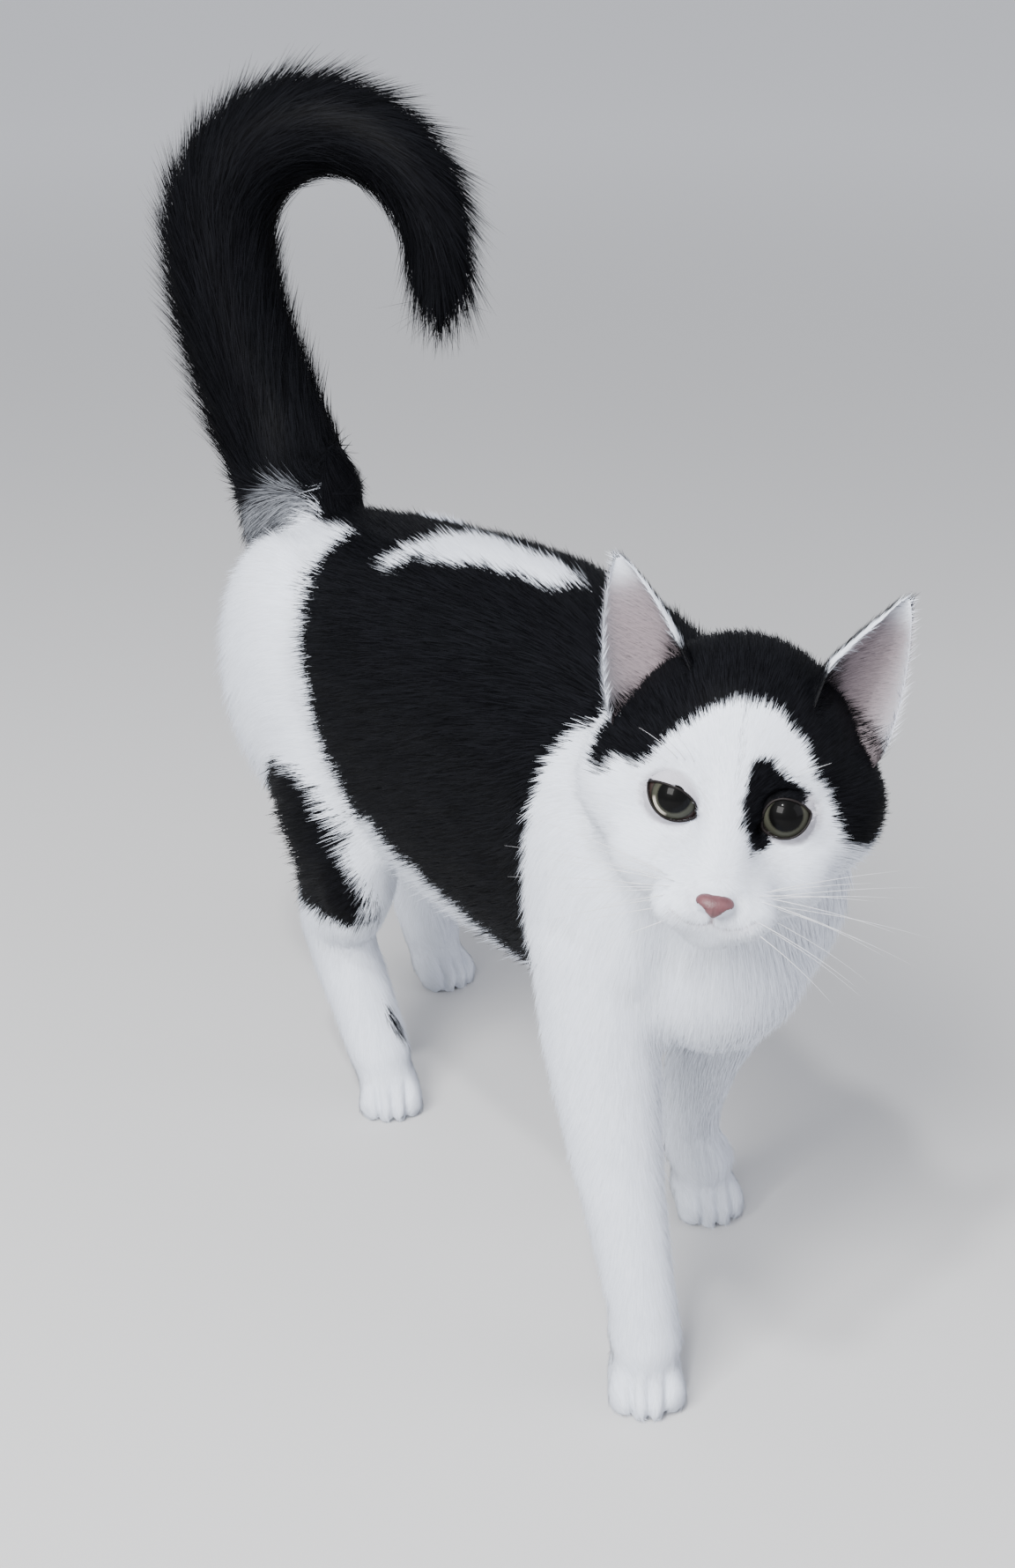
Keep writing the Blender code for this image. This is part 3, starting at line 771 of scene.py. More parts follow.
def eye_material(side):
    """Wet eye: round black pupil, grey-olive iris with fine rays, dark outer edge."""
    look = bpy.context.scene.cat_face
    material, tree, shader = new_material("wet_eye_" + side, {
        "Roughness": 0.35, "Specular IOR Level": 0.03, "Coat Weight": 0.12, "Coat Roughness": 0.02,
    })
    ring = read_field(tree, "ring")
    inputs = {0: read_field(tree, "turn_x"), 1: read_field(tree, "turn_y"), 2: ring}
    place = add_node(tree, "ShaderNodeCombineXYZ", inputs).outputs[0]
    rays = grain_of(tree, place, 14.0)
    wobble = add_node(tree, "ShaderNodeMath", {0: rays, 1: 0.03, 2: ring}, operation="MULTIPLY_ADD")
    wobble = wobble.outputs[0]
    colour = colour_steps(
        tree, wobble,
        (PUPIL_ANGLE / 90, (0.003, 0.003, 0.003)),
        (PUPIL_ANGLE / 90 + 0.025, tinted(look.iris, 0.55)),
        (0.43, tinted(look.iris, 1.05)),
        (0.53, tinted(look.iris, 0.85)),
        (IRIS_ANGLE / 90, tinted(look.iris, 0.28)),
        (IRIS_ANGLE / 90 + 0.04, (0.030, 0.020, 0.018)),
    )
    if side == "right":
        # A pale crescent low on the inner side, in the right eye only: a painted reflection on the wet eye
        toward = (-0.74, -0.67, 0)
        inner = add_node(tree, "ShaderNodeVectorMath", {0: place, 1: toward}, operation="DOT_PRODUCT")
        facing = add_node(
            tree, "ShaderNodeMapRange",
            {"Value": inner.outputs["Value"], "From Min": 0.80, "From Max": 0.93},
            interpolation_type="SMOOTHSTEP",
        ).outputs["Result"]
        band = add_node(tree, "ShaderNodeMath", {0: ring, 1: 0.475, 2: 0.045}, operation="COMPARE").outputs[0]
        both = add_node(tree, "ShaderNodeMath", {0: facing, 1: band}, operation="MULTIPLY").outputs[0]
        colour = mix_colours(tree, both, colour, (0.45, 0.41, 0.35, 1))
    link(tree, colour, shader.inputs["Base Color"])
    return material


def plain_material(name, grain, dark, light, inputs):
    """A finish with an even fine grain between two colours."""
    known = bpy.data.materials.get(name)
    if known:
        return known
    material, tree, shader = new_material(name, inputs)
    value = grain_of(tree, own_place(tree), grain)
    link(tree, colour_steps(tree, value, (0.0, dark), (1.0, light)), shader.inputs["Base Color"])
    return material


def nose_material():
    """Moist pink leather in small cells, with painted shade in the nostrils and the middle groove."""
    look = bpy.context.scene.cat_face
    material, tree, shader = new_material("nose_leather", {"Roughness": 0.42})
    place = own_place(tree)
    cells = add_node(tree, "ShaderNodeTexVoronoi", {"Vector": place, "Scale": 2200}).outputs["Distance"]
    grain = grain_of(tree, place, 350)
    leather = colour_steps(tree, grain, (0.35, tinted(look.nose, 0.80)), (0.70, tinted(look.nose, 1.12)))
    # hollow paints shade into the nostrils and the middle groove
    colour = mix_colours(tree, read_field(tree, "hollow"), leather, (0.07, 0.035, 0.035, 1))
    link(tree, colour, shader.inputs["Base Color"])
    roughen(tree, shader, cells, 0.4, 0.0002)
    return material


def floor_material():
    """Plain pale floor, painted lighter far off up to the backdrop's tone: painted light that makes up for
    the lamps' falloff, so that no edge shows.
    """
    floor = bpy.context.scene.cat_stage.floor
    material, tree, shader = new_material("studio_floor", {"Roughness": 0.9, "Specular IOR Level": 0.1})
    place = own_place(tree)
    grain = grain_of(tree, place, 3.0)
    near = colour_steps(tree, grain, (0.0, tinted(floor, 0.985)), (1.0, tinted(floor, 1.0)))
    away = add_node(tree, "ShaderNodeVectorMath", {0: place}, operation="LENGTH").outputs["Value"]
    # Lighter away from the middle: painted light where the lamps fall off
    far = add_node(
        tree, "ShaderNodeMapRange", {"Value": away, "From Min": 0.8, "From Max": 4.5},
        interpolation_type="SMOOTHSTEP",
    ).outputs["Result"]
    link(tree, mix_colours(tree, far, near, (0.97, 0.97, 0.975, 1)), shader.inputs["Base Color"])
    return material


# ---------------------------------------------------------------- eye openings, mouth and toes

# An eye's opening, drawn on the plane of the face, in centimetres
LID_MIDDLE = (1.86, -0.11)
LID_SLANT = math.radians(25)
LID_SHELL = 1.045
LID_HALF_LENGTHS = {"right": 0.92, "left": 0.80}
LID_HEIGHTS = {"right": 0.58, "left": 0.80}

# The mouth's line on one side and the groove from the nose down to it
MOUTH = ((0.0, -2.92), (0.22, -3.06), (0.55, -3.08), (0.95, -2.92), (1.35, -2.62))
LIP_GROOVE = ((0.0, -2.45), (0.0, -2.92))

TOE_CLEFTS = (-0.70, 0.0, 0.70)
TOE_CLEFT_DEPTH = 0.24 * CM
MOUTH_DEPTH = 0.055 * CM


def lid_edge(place, upper, side):
    """Half height of the opening at a place from its inner (-1) to its outer corner (1)."""
    high = LID_HEIGHTS[side] * np.maximum(1 - place**2, 0) ** 0.60 * (1 - 0.12 * place)
    low = 0.52 * np.maximum(1 - place**2, 0) ** 0.75 * (1 + 0.05 * place)
    return np.where(upper, high, low)


def lid_place(x, z, side):
    """Position on the face plane along and across an eye's opening."""
    outer = 1 if side == "left" else -1
    dx, dz = x * outer - LID_MIDDLE[0], z - LID_MIDDLE[1]
    c, s = math.cos(LID_SLANT), math.sin(LID_SLANT)
    return dx * c + dz * s, dz * c - dx * s


def from_lid_place(s, t, side):
    """The face-plane position of a place along and across an eye's opening."""
    outer = 1 if side == "left" else -1
    c, n = math.cos(LID_SLANT), math.sin(LID_SLANT)
    return (LID_MIDDLE[0] + s * c - t * n) * outer, LID_MIDDLE[1] + s * n + t * c


def lid_gap(s, t, side):
    """Distance outside an eye's opening; negative within it."""
    half = LID_HALF_LENGTHS[side]
    inside = (np.abs(t) - lid_edge(np.clip(s / half, -1, 1), t > 0, side)) * 0.85
    beyond = np.abs(s) - half
    return np.where(beyond > 0, np.hypot(t, beyond), inside)


def shell_front(x, z, middle):
    """How far forward the lid's inner face lies over the eyeball; nothing beside the ball."""
    reach = (EYE_RADIUS / CM * LID_SHELL) ** 2 - (x - middle[0]) ** 2 - (z - middle[2]) ** 2
    return np.where(reach > 0, middle[1] - np.sqrt(np.maximum(reach, 0)), 99.0)


def ball_middle(side):
    """Middle of an eyeball in the head's frame, in centimetres."""
    return head_points(np.array([EYE_BALLS[side]]))[0]


def shape_lids(points):
    """Draws the skin over each eyeball and opens it along the lid edges."""
    h = head_points(points)
    for side in ("right", "left"):
        middle = ball_middle(side)
        near = (np.hypot(h[:, 0] - middle[0], h[:, 2] - middle[2]) < 2.0) & (h[:, 1] < middle[1] + 0.25)
        s, t = lid_place(h[:, 0], h[:, 2], side)
        gap = lid_gap(s, t, side)
        half = LID_HALF_LENGTHS[side]
        at_edge = near & (np.abs(gap) < 0.04) & (np.abs(s) < half * 0.92)
        edge = lid_edge(np.clip(s / half, -1, 1), t > 0, side) * np.sign(t)
        x, z = from_lid_place(s, np.where(at_edge, edge, t), side)
        gap = np.where(at_edge, 0.0, gap)
        shell = shell_front(x, z, middle)
        flesh = h[:, 1]
        over_ball = shell < 50
        lid = np.minimum(mix(shell, flesh, smooth(0.03, 0.42, gap)), shell)
        drawn = np.where(gap < -0.005, shell + 0.30, lid)
        y = np.where(near & over_ball, drawn, flesh)
        h = np.stack([np.where(near, x, h[:, 0]), y, np.where(near, z, h[:, 2])], 1)
    return head_directions(h) * CM + np.array(HEAD_PLACE)


def line_distance(points, line):
    """Distance of flat points from a broken line."""
    best = np.full(len(points), 9.0)
    for (ax, ay), (bx, by) in zip(line, line[1:]):
        a, d = np.array((ax, ay)), np.array((bx - ax, by - ay))
        t = np.clip(((points - a) @ d) / (d @ d), 0, 1)
        best = np.minimum(best, np.linalg.norm(points - a - t[:, None] * d, axis=1))
    return best


def mouth_distance(h):
    """Distance from the mouth line and the groove under the nose, seen from the front."""
    flat = np.stack([np.abs(h[:, 0]), h[:, 2]], 1)
    return np.minimum(line_distance(flat, MOUTH), line_distance(flat, LIP_GROOVE))


def paw_places(points, leg):
    """Where points lie from the middle of a paw: across it, ahead and up, in centimetres."""
    middle, turn = PAWS[leg]
    off = (points - np.array(middle)) / CM
    c, s = math.cos(turn), math.sin(turn)
    return off[:, 0] * c + off[:, 1] * s, off[:, 0] * s - off[:, 1] * c, off[:, 2]


def toe_grooves(points):
    """How deep each point lies in a groove between toes, 0 to 1."""
    total = np.zeros(len(points))
    for leg in PAWS:
        across, ahead, height = paw_places(points, leg)
        near = (np.hypot(across, ahead) < 3) * smooth(2.1, 1.3, height)
        for place in TOE_CLEFTS:
            start = 0.35 if place else 0.75
            run = near * smooth(start, start + 0.5, ahead)
            total = np.maximum(total, run * np.exp(-(((across - place) / 0.14) ** 2)))
    return total


# ---------------------------------------------------------------- skin

SKIN_NAME = "skin"
REGIONS = (
    "face", "head", "chest", "flank_right", "flank_left", "hip_right", "hip_left",
    "front_legs", "hind_legs", "tail",
)


def gather_flesh(names, grow):
    """Copies solids into one mesh, each grown a little so that the parting gaps close."""
    gathered = bmesh.new()
    for name in names:
        part = bmesh.new()
        part.from_mesh(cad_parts[name].data)
        bmesh.ops.remove_doubles(part, verts=part.verts[:], dist=0.00001)
        part.normal_update()
        for vert in part.verts:
            vert.co += vert.normal * grow
        mesh = bpy.data.meshes.new("part")
        part.to_mesh(mesh)
        part.free()
        gathered.from_mesh(mesh)
        bpy.data.meshes.remove(mesh)
    mesh = bpy.data.meshes.new("flesh")
    gathered.to_mesh(mesh)
    gathered.free()
    return mesh


def fair(points, edges, rounds):
    """Takes the facets out of a surface without shrinking it."""
    for _ in range(rounds):
        points = relax(points, edges, 1)
        points = points + 1.04 * (points - relax(points, edges, 1))
    return points


def fuse_flesh():
    """All the flesh fused under one even skin, with the hollow under the chest eased."""
    raw = new_object("raw", gather_flesh(FLESH + ["eye_right", "eye_left", "nose"], 0.0004))
    fuse = raw.modifiers.new("fuse", "REMESH")
    fuse.mode = "VOXEL"
    fuse.voxel_size = bpy.context.scene.cat_coat.voxel
    mesh = plain_mesh(raw)
    bpy.data.objects.remove(raw)
    mesh.name = SKIN_NAME
    edges = read_edges(mesh)
    points = fair(read_points(mesh), edges, 26)
    under_chest = away_from(points / CM, (1.5, -11.5, 13.5), (4.5, 5.0, 3.6))
    points = mix(points, relax(points, edges, 60), smooth(1.0, 0.6, under_chest)[:, None])
    write_points(mesh, points)
    return mesh


def refine(mesh, middle, radius):
    """Divides the faces within a ball into four."""
    shape = bmesh.new()
    shape.from_mesh(mesh)
    edges = [e for e in shape.edges if all((v.co - middle).length < radius for v in e.verts)]
    bmesh.ops.subdivide_edges(shape, edges=edges, cuts=1, use_grid_fill=True)
    shape.to_mesh(mesh)
    shape.free()


def refine_details(mesh):
    """A finer skin on the face, round the eyes, at the mouth and on the toes."""
    eyes = (EYE_BALLS["right"] + EYE_BALLS["left"]) / 2
    refine(mesh, eyes + HEAD_TURN @ Vector((0, -0.008, -0.010)), 0.036)
    for side in ("right", "left"):
        refine(mesh, EYE_BALLS[side], 0.0165)
    refine(mesh, HEAD @ Vector((0, -0.026, -0.026)), 0.016)
    for middle, turn in PAWS.values():
        refine(mesh, middle + Vector((0.010 * math.sin(turn), -0.010 * math.cos(turn), 0.006)), 0.018)


def unwrap(piece):
    """Lays the piece's surface out flat as a map."""
    bpy.ops.object.select_all(action="DESELECT")
    piece.select_set(True)
    bpy.context.view_layer.objects.active = piece
    piece.data.uv_layers.new(name="OFBake")
    bpy.ops.object.mode_set(mode="EDIT")
    bpy.ops.mesh.select_all(action="SELECT")
    bpy.ops.uv.smart_project(angle_limit=math.radians(66), island_margin=0.002)
    bpy.ops.object.mode_set(mode="OBJECT")


def face_regions(mesh):
    """Which coat piece each face of the skin belongs to."""
    middle = read_rows(mesh.polygons, "center", len(mesh.polygons))
    x, y, z = (middle / CM).T
    h = head_points(middle)
    in_head = away_from(h, (0, 2.2, -0.6)) < 6.0
    leg = z < 11.2
    region = np.zeros(len(mesh.polygons))
    for name, here in (
        ("flank_right", x <= 0),
        ("flank_left", x > 0),
        ("hip_right", (y > 8.0) & (x <= 0)),
        ("hip_left", (y > 8.0) & (x > 0)),
        ("chest", y < -8.0),
        ("front_legs", leg & (y < -2)),
        ("hind_legs", leg & (y > 0)),
        ("tail", (z > 25.8) & (y > 13)),
        ("head", in_head),
        ("face", in_head & (h[:, 1] < 1.7) & (z > 0)),
    ):
        region[here] = REGIONS.index(name)
    return region


def open_share(points):
    """1 where coat grows, 0 on the lid edges, the nose pad and inside the eye openings."""
    h = head_points(points)
    share = np.ones(len(points))
    for side in ("right", "left"):
        middle = ball_middle(side)
        near = (np.linalg.norm(h - middle, axis=1) < 2.0) & (h[:, 1] < middle[1] + 0.25)
        gap = lid_gap(*lid_place(h[:, 0], h[:, 2], side), side)
        share = np.where(near, share * smooth(0.03, 0.13, gap), share)
    share = np.where(h[:, 1] < -1.0, share * smooth(0.03, 0.09, mouth_distance(h)), share)
    nose = np.hypot(h[:, 0] / 0.80, (h[:, 2] + 2.15) / 0.52)
    at_nose = (h[:, 1] < -1.9) & (np.abs(h[:, 2] + 2.15) < 1.2)
    return np.where(at_nose, share * smooth(0.95, 1.15, nose), share)


def carve(points, normals, lips):
    """Presses in the mouth line, the toe clefts and the seat of the nose pad."""
    points = points - normals * (lips * MOUTH_DEPTH)[:, None]
    points = points - normals * (toe_grooves(points) * TOE_CLEFT_DEPTH)[:, None]
    points[:, 2] = np.maximum(points[:, 2], 0.0)
    h = head_points(points)
    pad = np.hypot(h[:, 0] / 0.86, (h[:, 2] + 2.15) / 0.60)
    sunk = (h[:, 1] < -1.5) * smooth(1.15, 0.75, pad) * 0.16 * CM
    return points + sunk[:, None] * np.array(HEAD_TURN @ Vector((0, 1, 0)))


def mark_skin(mesh, points, outer, lie, zones, reach):
    """Stores the markings: on the skin itself, and for the tufts that grow from it."""
    h = head_points(points)
    # A lock carries the marking it reaches over, not the one it is rooted in
    over = dark_depth(outer + lie * reach[:, None] * 0.75)
    streak = all_of(0.16 - np.abs(h[:, 0] - 0.05), h[:, 2] - 0.8, 3.2 - h[:, 2])
    over = any_of(over, np.where((streak > 0) & (h[:, 1] < 2), -0.075, -99))
    # Black and white hairs mix to grey at the right of the tail's foot
    x, y, _z = (outer / CM).T
    grey = smooth(3.2, 1.6, away_from(outer / CM, GREY_HAIR)) * smooth(15.0, 16.0, y) * smooth(-1.2, -2.2, x)
    ragged = mix(mix(0.30, 0.17, zones["in_head"]), 0.075, zones["face"])
    set_fields(
        mesh,
        depth_dark=mix(over, np.maximum(over, 0.92), grey),
        ragged=mix(ragged, 0.45, grey),
        mingle=mix(mix(0.12, 0.05, zones["face"]), 1.3, grey),
        dark=any_of(smooth(-0.10, 0.10, dark_depth(outer)), 0.75 * grey),
        shade=0.35,
        # The skin under the coat takes a darker, root-like tone: painted shade under the hair
        along=0.25,
    )


def make_skin():
    """One skin over all the flesh, with lids, mouth and toes, and the coat's fields on it."""
    mesh = fuse_flesh()
    refine_details(mesh)
    outer, normals, edges = read_points(mesh), read_normals(mesh), read_edges(mesh)
    zones = coat_zones(outer)
    tail_way, tip = tail_lie(outer)
    measures = coat_measures(outer, zones, tip)
    points = outer - normals * relax(measures["depth"], edges, 6)[:, None]
    h = head_points(points)
    line = mouth_distance(h)
    front = (h[:, 1] < -1.0) & (zones["in_head"] > 0.5)
    points = shape_lids(carve(points, normals, front * np.exp(-((line / 0.075) ** 2))))
    write_points(mesh, points)
    shade_smooth(mesh)

    normals = read_normals(mesh)
    lie = coat_lie(outer, zones, tail_way, tip)
    for _ in range(3):
        lie = relax(along_surface(lie, normals), edges, 6)
    lie = along_surface(lie, normals)
    pink = front * np.exp(-((line / 0.07) ** 2)) * 0.9
    for side in ("right", "left"):
        pink = any_of(pink, 0.55 * smooth(1.22, 1.02, eye_distance(points, side)))
    set_fields(
        mesh,
        lie=lie,
        reach=measures["reach"],
        girth=measures["girth"],
        rise=measures["rise"],
        thick=measures["thick"] * open_share(points),
        upright=any_of(smooth(13, 10, points[:, 2] / CM), zones["tail"]),
        pink=pink,
    )
    mark_skin(mesh, points, outer, lie, zones, measures["reach"])
    set_field(mesh, "region", face_regions(mesh), "INT", "FACE")
    skin = new_object(SKIN_NAME, mesh)
    mesh.materials.clear()
    mesh.materials.append(coat_material("skin_coat", grain=True))
    unwrap(skin)
    return skin


# ---------------------------------------------------------------- coat

# Fields that stay on the finished coat
KEPT_FIELDS = {
    "dark", "shade", "along", "pink", "OFBake",
    "position", "sharp_face", ".corner_vert", ".corner_edge", ".edge_verts",
}
# How far a tuft's shading follows the body under it rather than its own sides
SOFTNESS = 0.86
TUFT_PATCH = 0.003
MOST_TRIANGLES = 200000


def tuft_template():
    """One lock of hair, one unit long: a slim closed three-sided point, flat underneath."""
    points = ((-0.5, -0.04, -0.12), (0.5, -0.04, -0.12), (0, -0.04, 0.12), (0, 1, 0.04))
    faces = ((0, 1, 2), (0, 3, 1), (1, 3, 2), (2, 3, 0))
    mesh = bpy.data.meshes.new("tuft")
    mesh.from_pydata(points, [], faces)
    # along also paints the roots darker in the coat's colour: painted shade deep in the coat
    set_fields(mesh, along=[0.0, 0.0, 0.1, 1.0], across=[0.0, 1.0, 0.5, 0.5])
    shade_smooth(mesh)
    return new_object("tuft", mesh)


def used(sockets, name):
    """The enabled socket of that name."""
    return next(s for s in sockets if s.name == name and s.enabled)


def coat_tree():
    """Geometry nodes that grow tufts over one region of a surface."""
    known = bpy.data.node_groups.get("coat")
    if known:
        return known
    tree = bpy.data.node_groups.new("coat", "GeometryNodeTree")
    for name, kind in (
        ("Surface", "Geometry"), ("Tuft", "Object"), ("Region", "Int"), ("Share", "Float"),
        ("Disorder", "Float"), ("Seed", "Int"), ("Material", "Material"),
    ):
        tree.interface.new_socket(name, in_out="INPUT", socket_type="NodeSocket" + kind)
    tree.interface.new_socket("Coat", in_out="OUTPUT", socket_type="NodeSocketGeometry")
    given = add_node(tree, "NodeGroupInput").outputs

    def field(name, kind="FLOAT"):
        node = add_node(tree, "GeometryNodeInputNamedAttribute", {"Name": name}, data_type=kind)
        return used(node.outputs, "Attribute")

    def vector(operation, a, b=None, scale=None):
        inputs = {0: a}
        if b is not None:
            inputs[1] = b
        if scale is not None:
            inputs["Scale"] = scale
        return add_node(tree, "ShaderNodeVectorMath", inputs, operation=operation).outputs[0]

    def number(operation, a, b):
        return add_node(tree, "ShaderNodeMath", {0: a, 1: b}, operation=operation).outputs[0]

    def three(x, y, z):
        return add_node(tree, "ShaderNodeCombineXYZ", {0: x, 1: y, 2: z}).outputs[0]

    def chance(low, high, step, kind="FLOAT"):
        node = add_node(tree, "FunctionNodeRandomValue", data_type=kind)
        used(node.inputs, "Min").default_value = low
        used(node.inputs, "Max").default_value = high
        link(tree, number("ADD", given["Seed"], step), used(node.inputs, "Seed"))
        return used(node.outputs, "Value")

    def store(geometry, name, value, kind="FLOAT", domain="POINT"):
        inputs = {"Geometry": geometry, "Name": name}
        node = add_node(tree, "GeometryNodeStoreNamedAttribute", inputs, data_type=kind, domain=domain)
        link(tree, value, used(node.inputs, "Value"))
        return node.outputs["Geometry"]

    same = add_node(tree, "FunctionNodeCompare", data_type="INT", operation="EQUAL")
    link(tree, field("region", "INT"), used(same.inputs, "A"))
    link(tree, given["Region"], used(same.inputs, "B"))
    spread = add_node(
        tree, "GeometryNodeDistributePointsOnFaces",
        {"Mesh": given["Surface"], "Selection": same.outputs["Result"], "Seed": given["Seed"]},
        distribute_method="RANDOM",
    )
    link(tree, number("MULTIPLY", field("thick"), given["Share"]), used(spread.inputs, "Density"))
    normal = spread.outputs["Normal"]

    # A root in the mixed border is black, white or a little grey as a whole
    cut = number("ADD", field("depth_dark"), number("MULTIPLY", field("ragged"), chance(-1, 1, 1)))
    choice = add_node(
        tree, "ShaderNodeMapRange",
        {"Value": number("DIVIDE", cut, field("mingle")), "From Min": -1.0, "From Max": 1.0},
    )
    points = store(spread.outputs["Points"], "dark", choice.outputs["Result"])
    # A random number for each tuft: it varies the white's tone and gives the black its painted glints
    points = store(points, "shade", chance(0.0, 1.0, 2))
    points = store(points, "root_map", field("OFBake", "FLOAT_VECTOR"), "FLOAT_VECTOR")
    points = store(points, "root_normal", normal, "FLOAT_VECTOR")

    # Each tuft follows the lie, lifted a little and out of line by chance
    lift = vector("SCALE", normal, scale=number("MULTIPLY", field("rise"), chance(0.4, 1.6, 7)))
    jitter = vector("SCALE", chance((-1, -1, -1), (1, 1, 1), 3, "FLOAT_VECTOR"), scale=given["Disorder"])
    way = vector("NORMALIZE", vector("ADD", vector("ADD", field("lie", "FLOAT_VECTOR"), lift), jitter))
    tilt = chance((-0.5, -0.5, -0.5), (0.5, 0.5, 0.5), 4, "FLOAT_VECTOR")
    turn = add_node(
        tree, "FunctionNodeAxesToRotation",
        {"Primary Axis": way, "Secondary Axis": vector("ADD", normal, tilt)},
        primary_axis="Y", secondary_axis="Z",
    )
    girth = number("MULTIPLY", field("girth"), chance(0.5, 1.25, 5))
    reach = number("MULTIPLY", field("reach"), chance(0.6, 1.2, 6))
    tuft = add_node(tree, "GeometryNodeObjectInfo", {"Object": given["Tuft"]}).outputs["Geometry"]
    place = add_node(tree, "GeometryNodeInstanceOnPoints", {
        "Points": points, "Instance": tuft, "Rotation": turn.outputs["Rotation"],
        "Scale": three(girth, reach, girth),
    })
    real = add_node(tree, "GeometryNodeRealizeInstances", {"Geometry": place.outputs["Instances"]})

    # Each tuft is a small patch of the map, round its root's place
    across, along = (
        number("MULTIPLY", number("SUBTRACT", field(name), 0.5), TUFT_PATCH) for name in ("across", "along")
    )
    spot = vector("ADD", field("root_map", "FLOAT_VECTOR"), three(across, along, 0.0))
    mapped = store(real.outputs["Geometry"], "OFBake", spot, "FLOAT2", "CORNER")
    dress = add_node(tree, "GeometryNodeSetMaterial", {"Geometry": mapped, "Material": given["Material"]})
    add_node(tree, "NodeGroupOutput", {"Coat": dress.outputs["Geometry"]})
    return tree


def grow_coat(name, surface, tuft, region, share, disorder, seed, material):
    """Grows one coat piece over one region of a surface."""
    carrier = new_object(name, surface.data)
    growth = carrier.modifiers.new("coat", "NODES")
    growth.node_group = coat_tree()
    values = {
        "Tuft": tuft, "Region": region, "Share": share, "Disorder": disorder,
        "Seed": seed, "Material": material,
    }
    for item in growth.node_group.interface.items_tree:
        if item.name in values and item.in_out == "INPUT":
            growth[item.identifier] = values[item.name]
    mesh = plain_mesh(carrier)
    carrier.modifiers.clear()
    mesh.name = name
    shade_smooth(mesh)
    under = read_rows(mesh.attributes["root_normal"].data, "vector", len(mesh.vertices))
    soft = unit(mix(read_normals(mesh), under, SOFTNESS))
    for field_name in [a.name for a in mesh.attributes if a.name not in KEPT_FIELDS]:
        layer = mesh.attributes.get(field_name)
        if layer and not layer.is_internal and not layer.is_required:
            mesh.attributes.remove(layer)
    mesh.normals_split_custom_set_from_vertices(soft.tolist())
    mesh.materials.clear()
    mesh.materials.append(material)
    carrier.data = mesh
    # Light passes through fine hair, so the skin alone casts the shadows
    carrier.visible_shadow = False
    mesh.calc_loop_triangles()
    triangles = len(mesh.loop_triangles)
    if not 0 < triangles < MOST_TRIANGLES:
        raise RuntimeError(f"{name} has {triangles} triangles")
    return carrier


# ---------------------------------------------------------------- ears

EAR_ROWS = 30
EAR_COLUMNS = 24
EAR_BASE = 0.26
EAR_FLARES = {"right": 0.0, "left": 0.0045}


def ear_height(row):
    """How far up the ear a row lies: below 0 inside the skull, 1 at the tip."""
    return (1 + EAR_BASE) * row / EAR_ROWS - EAR_BASE


def ear_rows(side, inset):
    """Rows of points over one face of an ear, from inside the skull to the tip."""
    root, tip, turn = EARS[side]
    outer = math.copysign(1, root.x)
    axis = tip - root
    length = axis.length
    axis.normalize()
    facing = Vector((outer * math.sin(turn), -math.cos(turn), 0))
    facing = (facing - axis * facing.dot(axis)).normalized()
    across = axis.cross(facing)
    lines = []
    for row in range(EAR_ROWS + 1):
        rise = ear_height(row)
        wide = EAR_HALF_WIDTH * max(1 - max(rise, 0) ** 1.55, 0.0) ** 0.80 + 0.0006
        wide *= 1 - 0.10 * max(-rise, 0) / EAR_BASE
        deep = wide * (0.85 - 0.40 * max(rise, 0))
        line = []
        for column in range(EAR_COLUMNS + 1):
            part = 2 * column / EAR_COLUMNS - 1
            angle = math.radians(105) * part
            at = root + axis * (rise * length) + across * (wide * math.sin(angle))
            at -= facing * (deep * (math.cos(angle) - 0.35))
            inward = max(-part * outer, 0) ** 1.5 * max(0, 1 - abs(rise - 0.38) / 0.42)
            at -= across * (EAR_FLARES[side] * inward * outer)
            push = inset * (1 - abs(part) ** 4) * min(1, (1 - rise) * 4)
            middle = root + axis * (rise * length) + facing * (deep * 0.35)
            at += (middle - at).normalized() * push
            line.append(HEAD @ at)
        lines.append(line)
    return lines


def rim_of(sheet):
    """The border of a sheet of rows, once round."""
    right = [row[-1] for row in sheet[-2::-1]]
    return [row[0] for row in sheet] + sheet[-1][1:] + right + sheet[0][-2:0:-1]


def ear_shape(side):
    """A thin cup with a rounded rim, open to the front; its points know their place on it."""
    shape = bmesh.new()
    inside, edge, height = (shape.verts.layers.float.new(name) for name in ("inside", "edge", "height"))
    sheets = []
    for inset, is_front in ((0.0011, 1.0), (-0.0004, 0.0)):
        sheet = add_rows(shape, ear_rows(side, inset), closed=False, capped=False)
        for row, line in enumerate(sheet):
            for column, vert in enumerate(line):
                part = abs(2 * column / EAR_COLUMNS - 1)
                vert[inside] = is_front
                vert[edge] = max(part**4, max(ear_height(row), 0) ** 8)
                vert[height] = ear_height(row)
        sheets.append(sheet)
    bridge(shape, rim_of(sheets[0]), rim_of(sheets[1]))
    return smooth_mesh("ear_skin_" + side, shape)


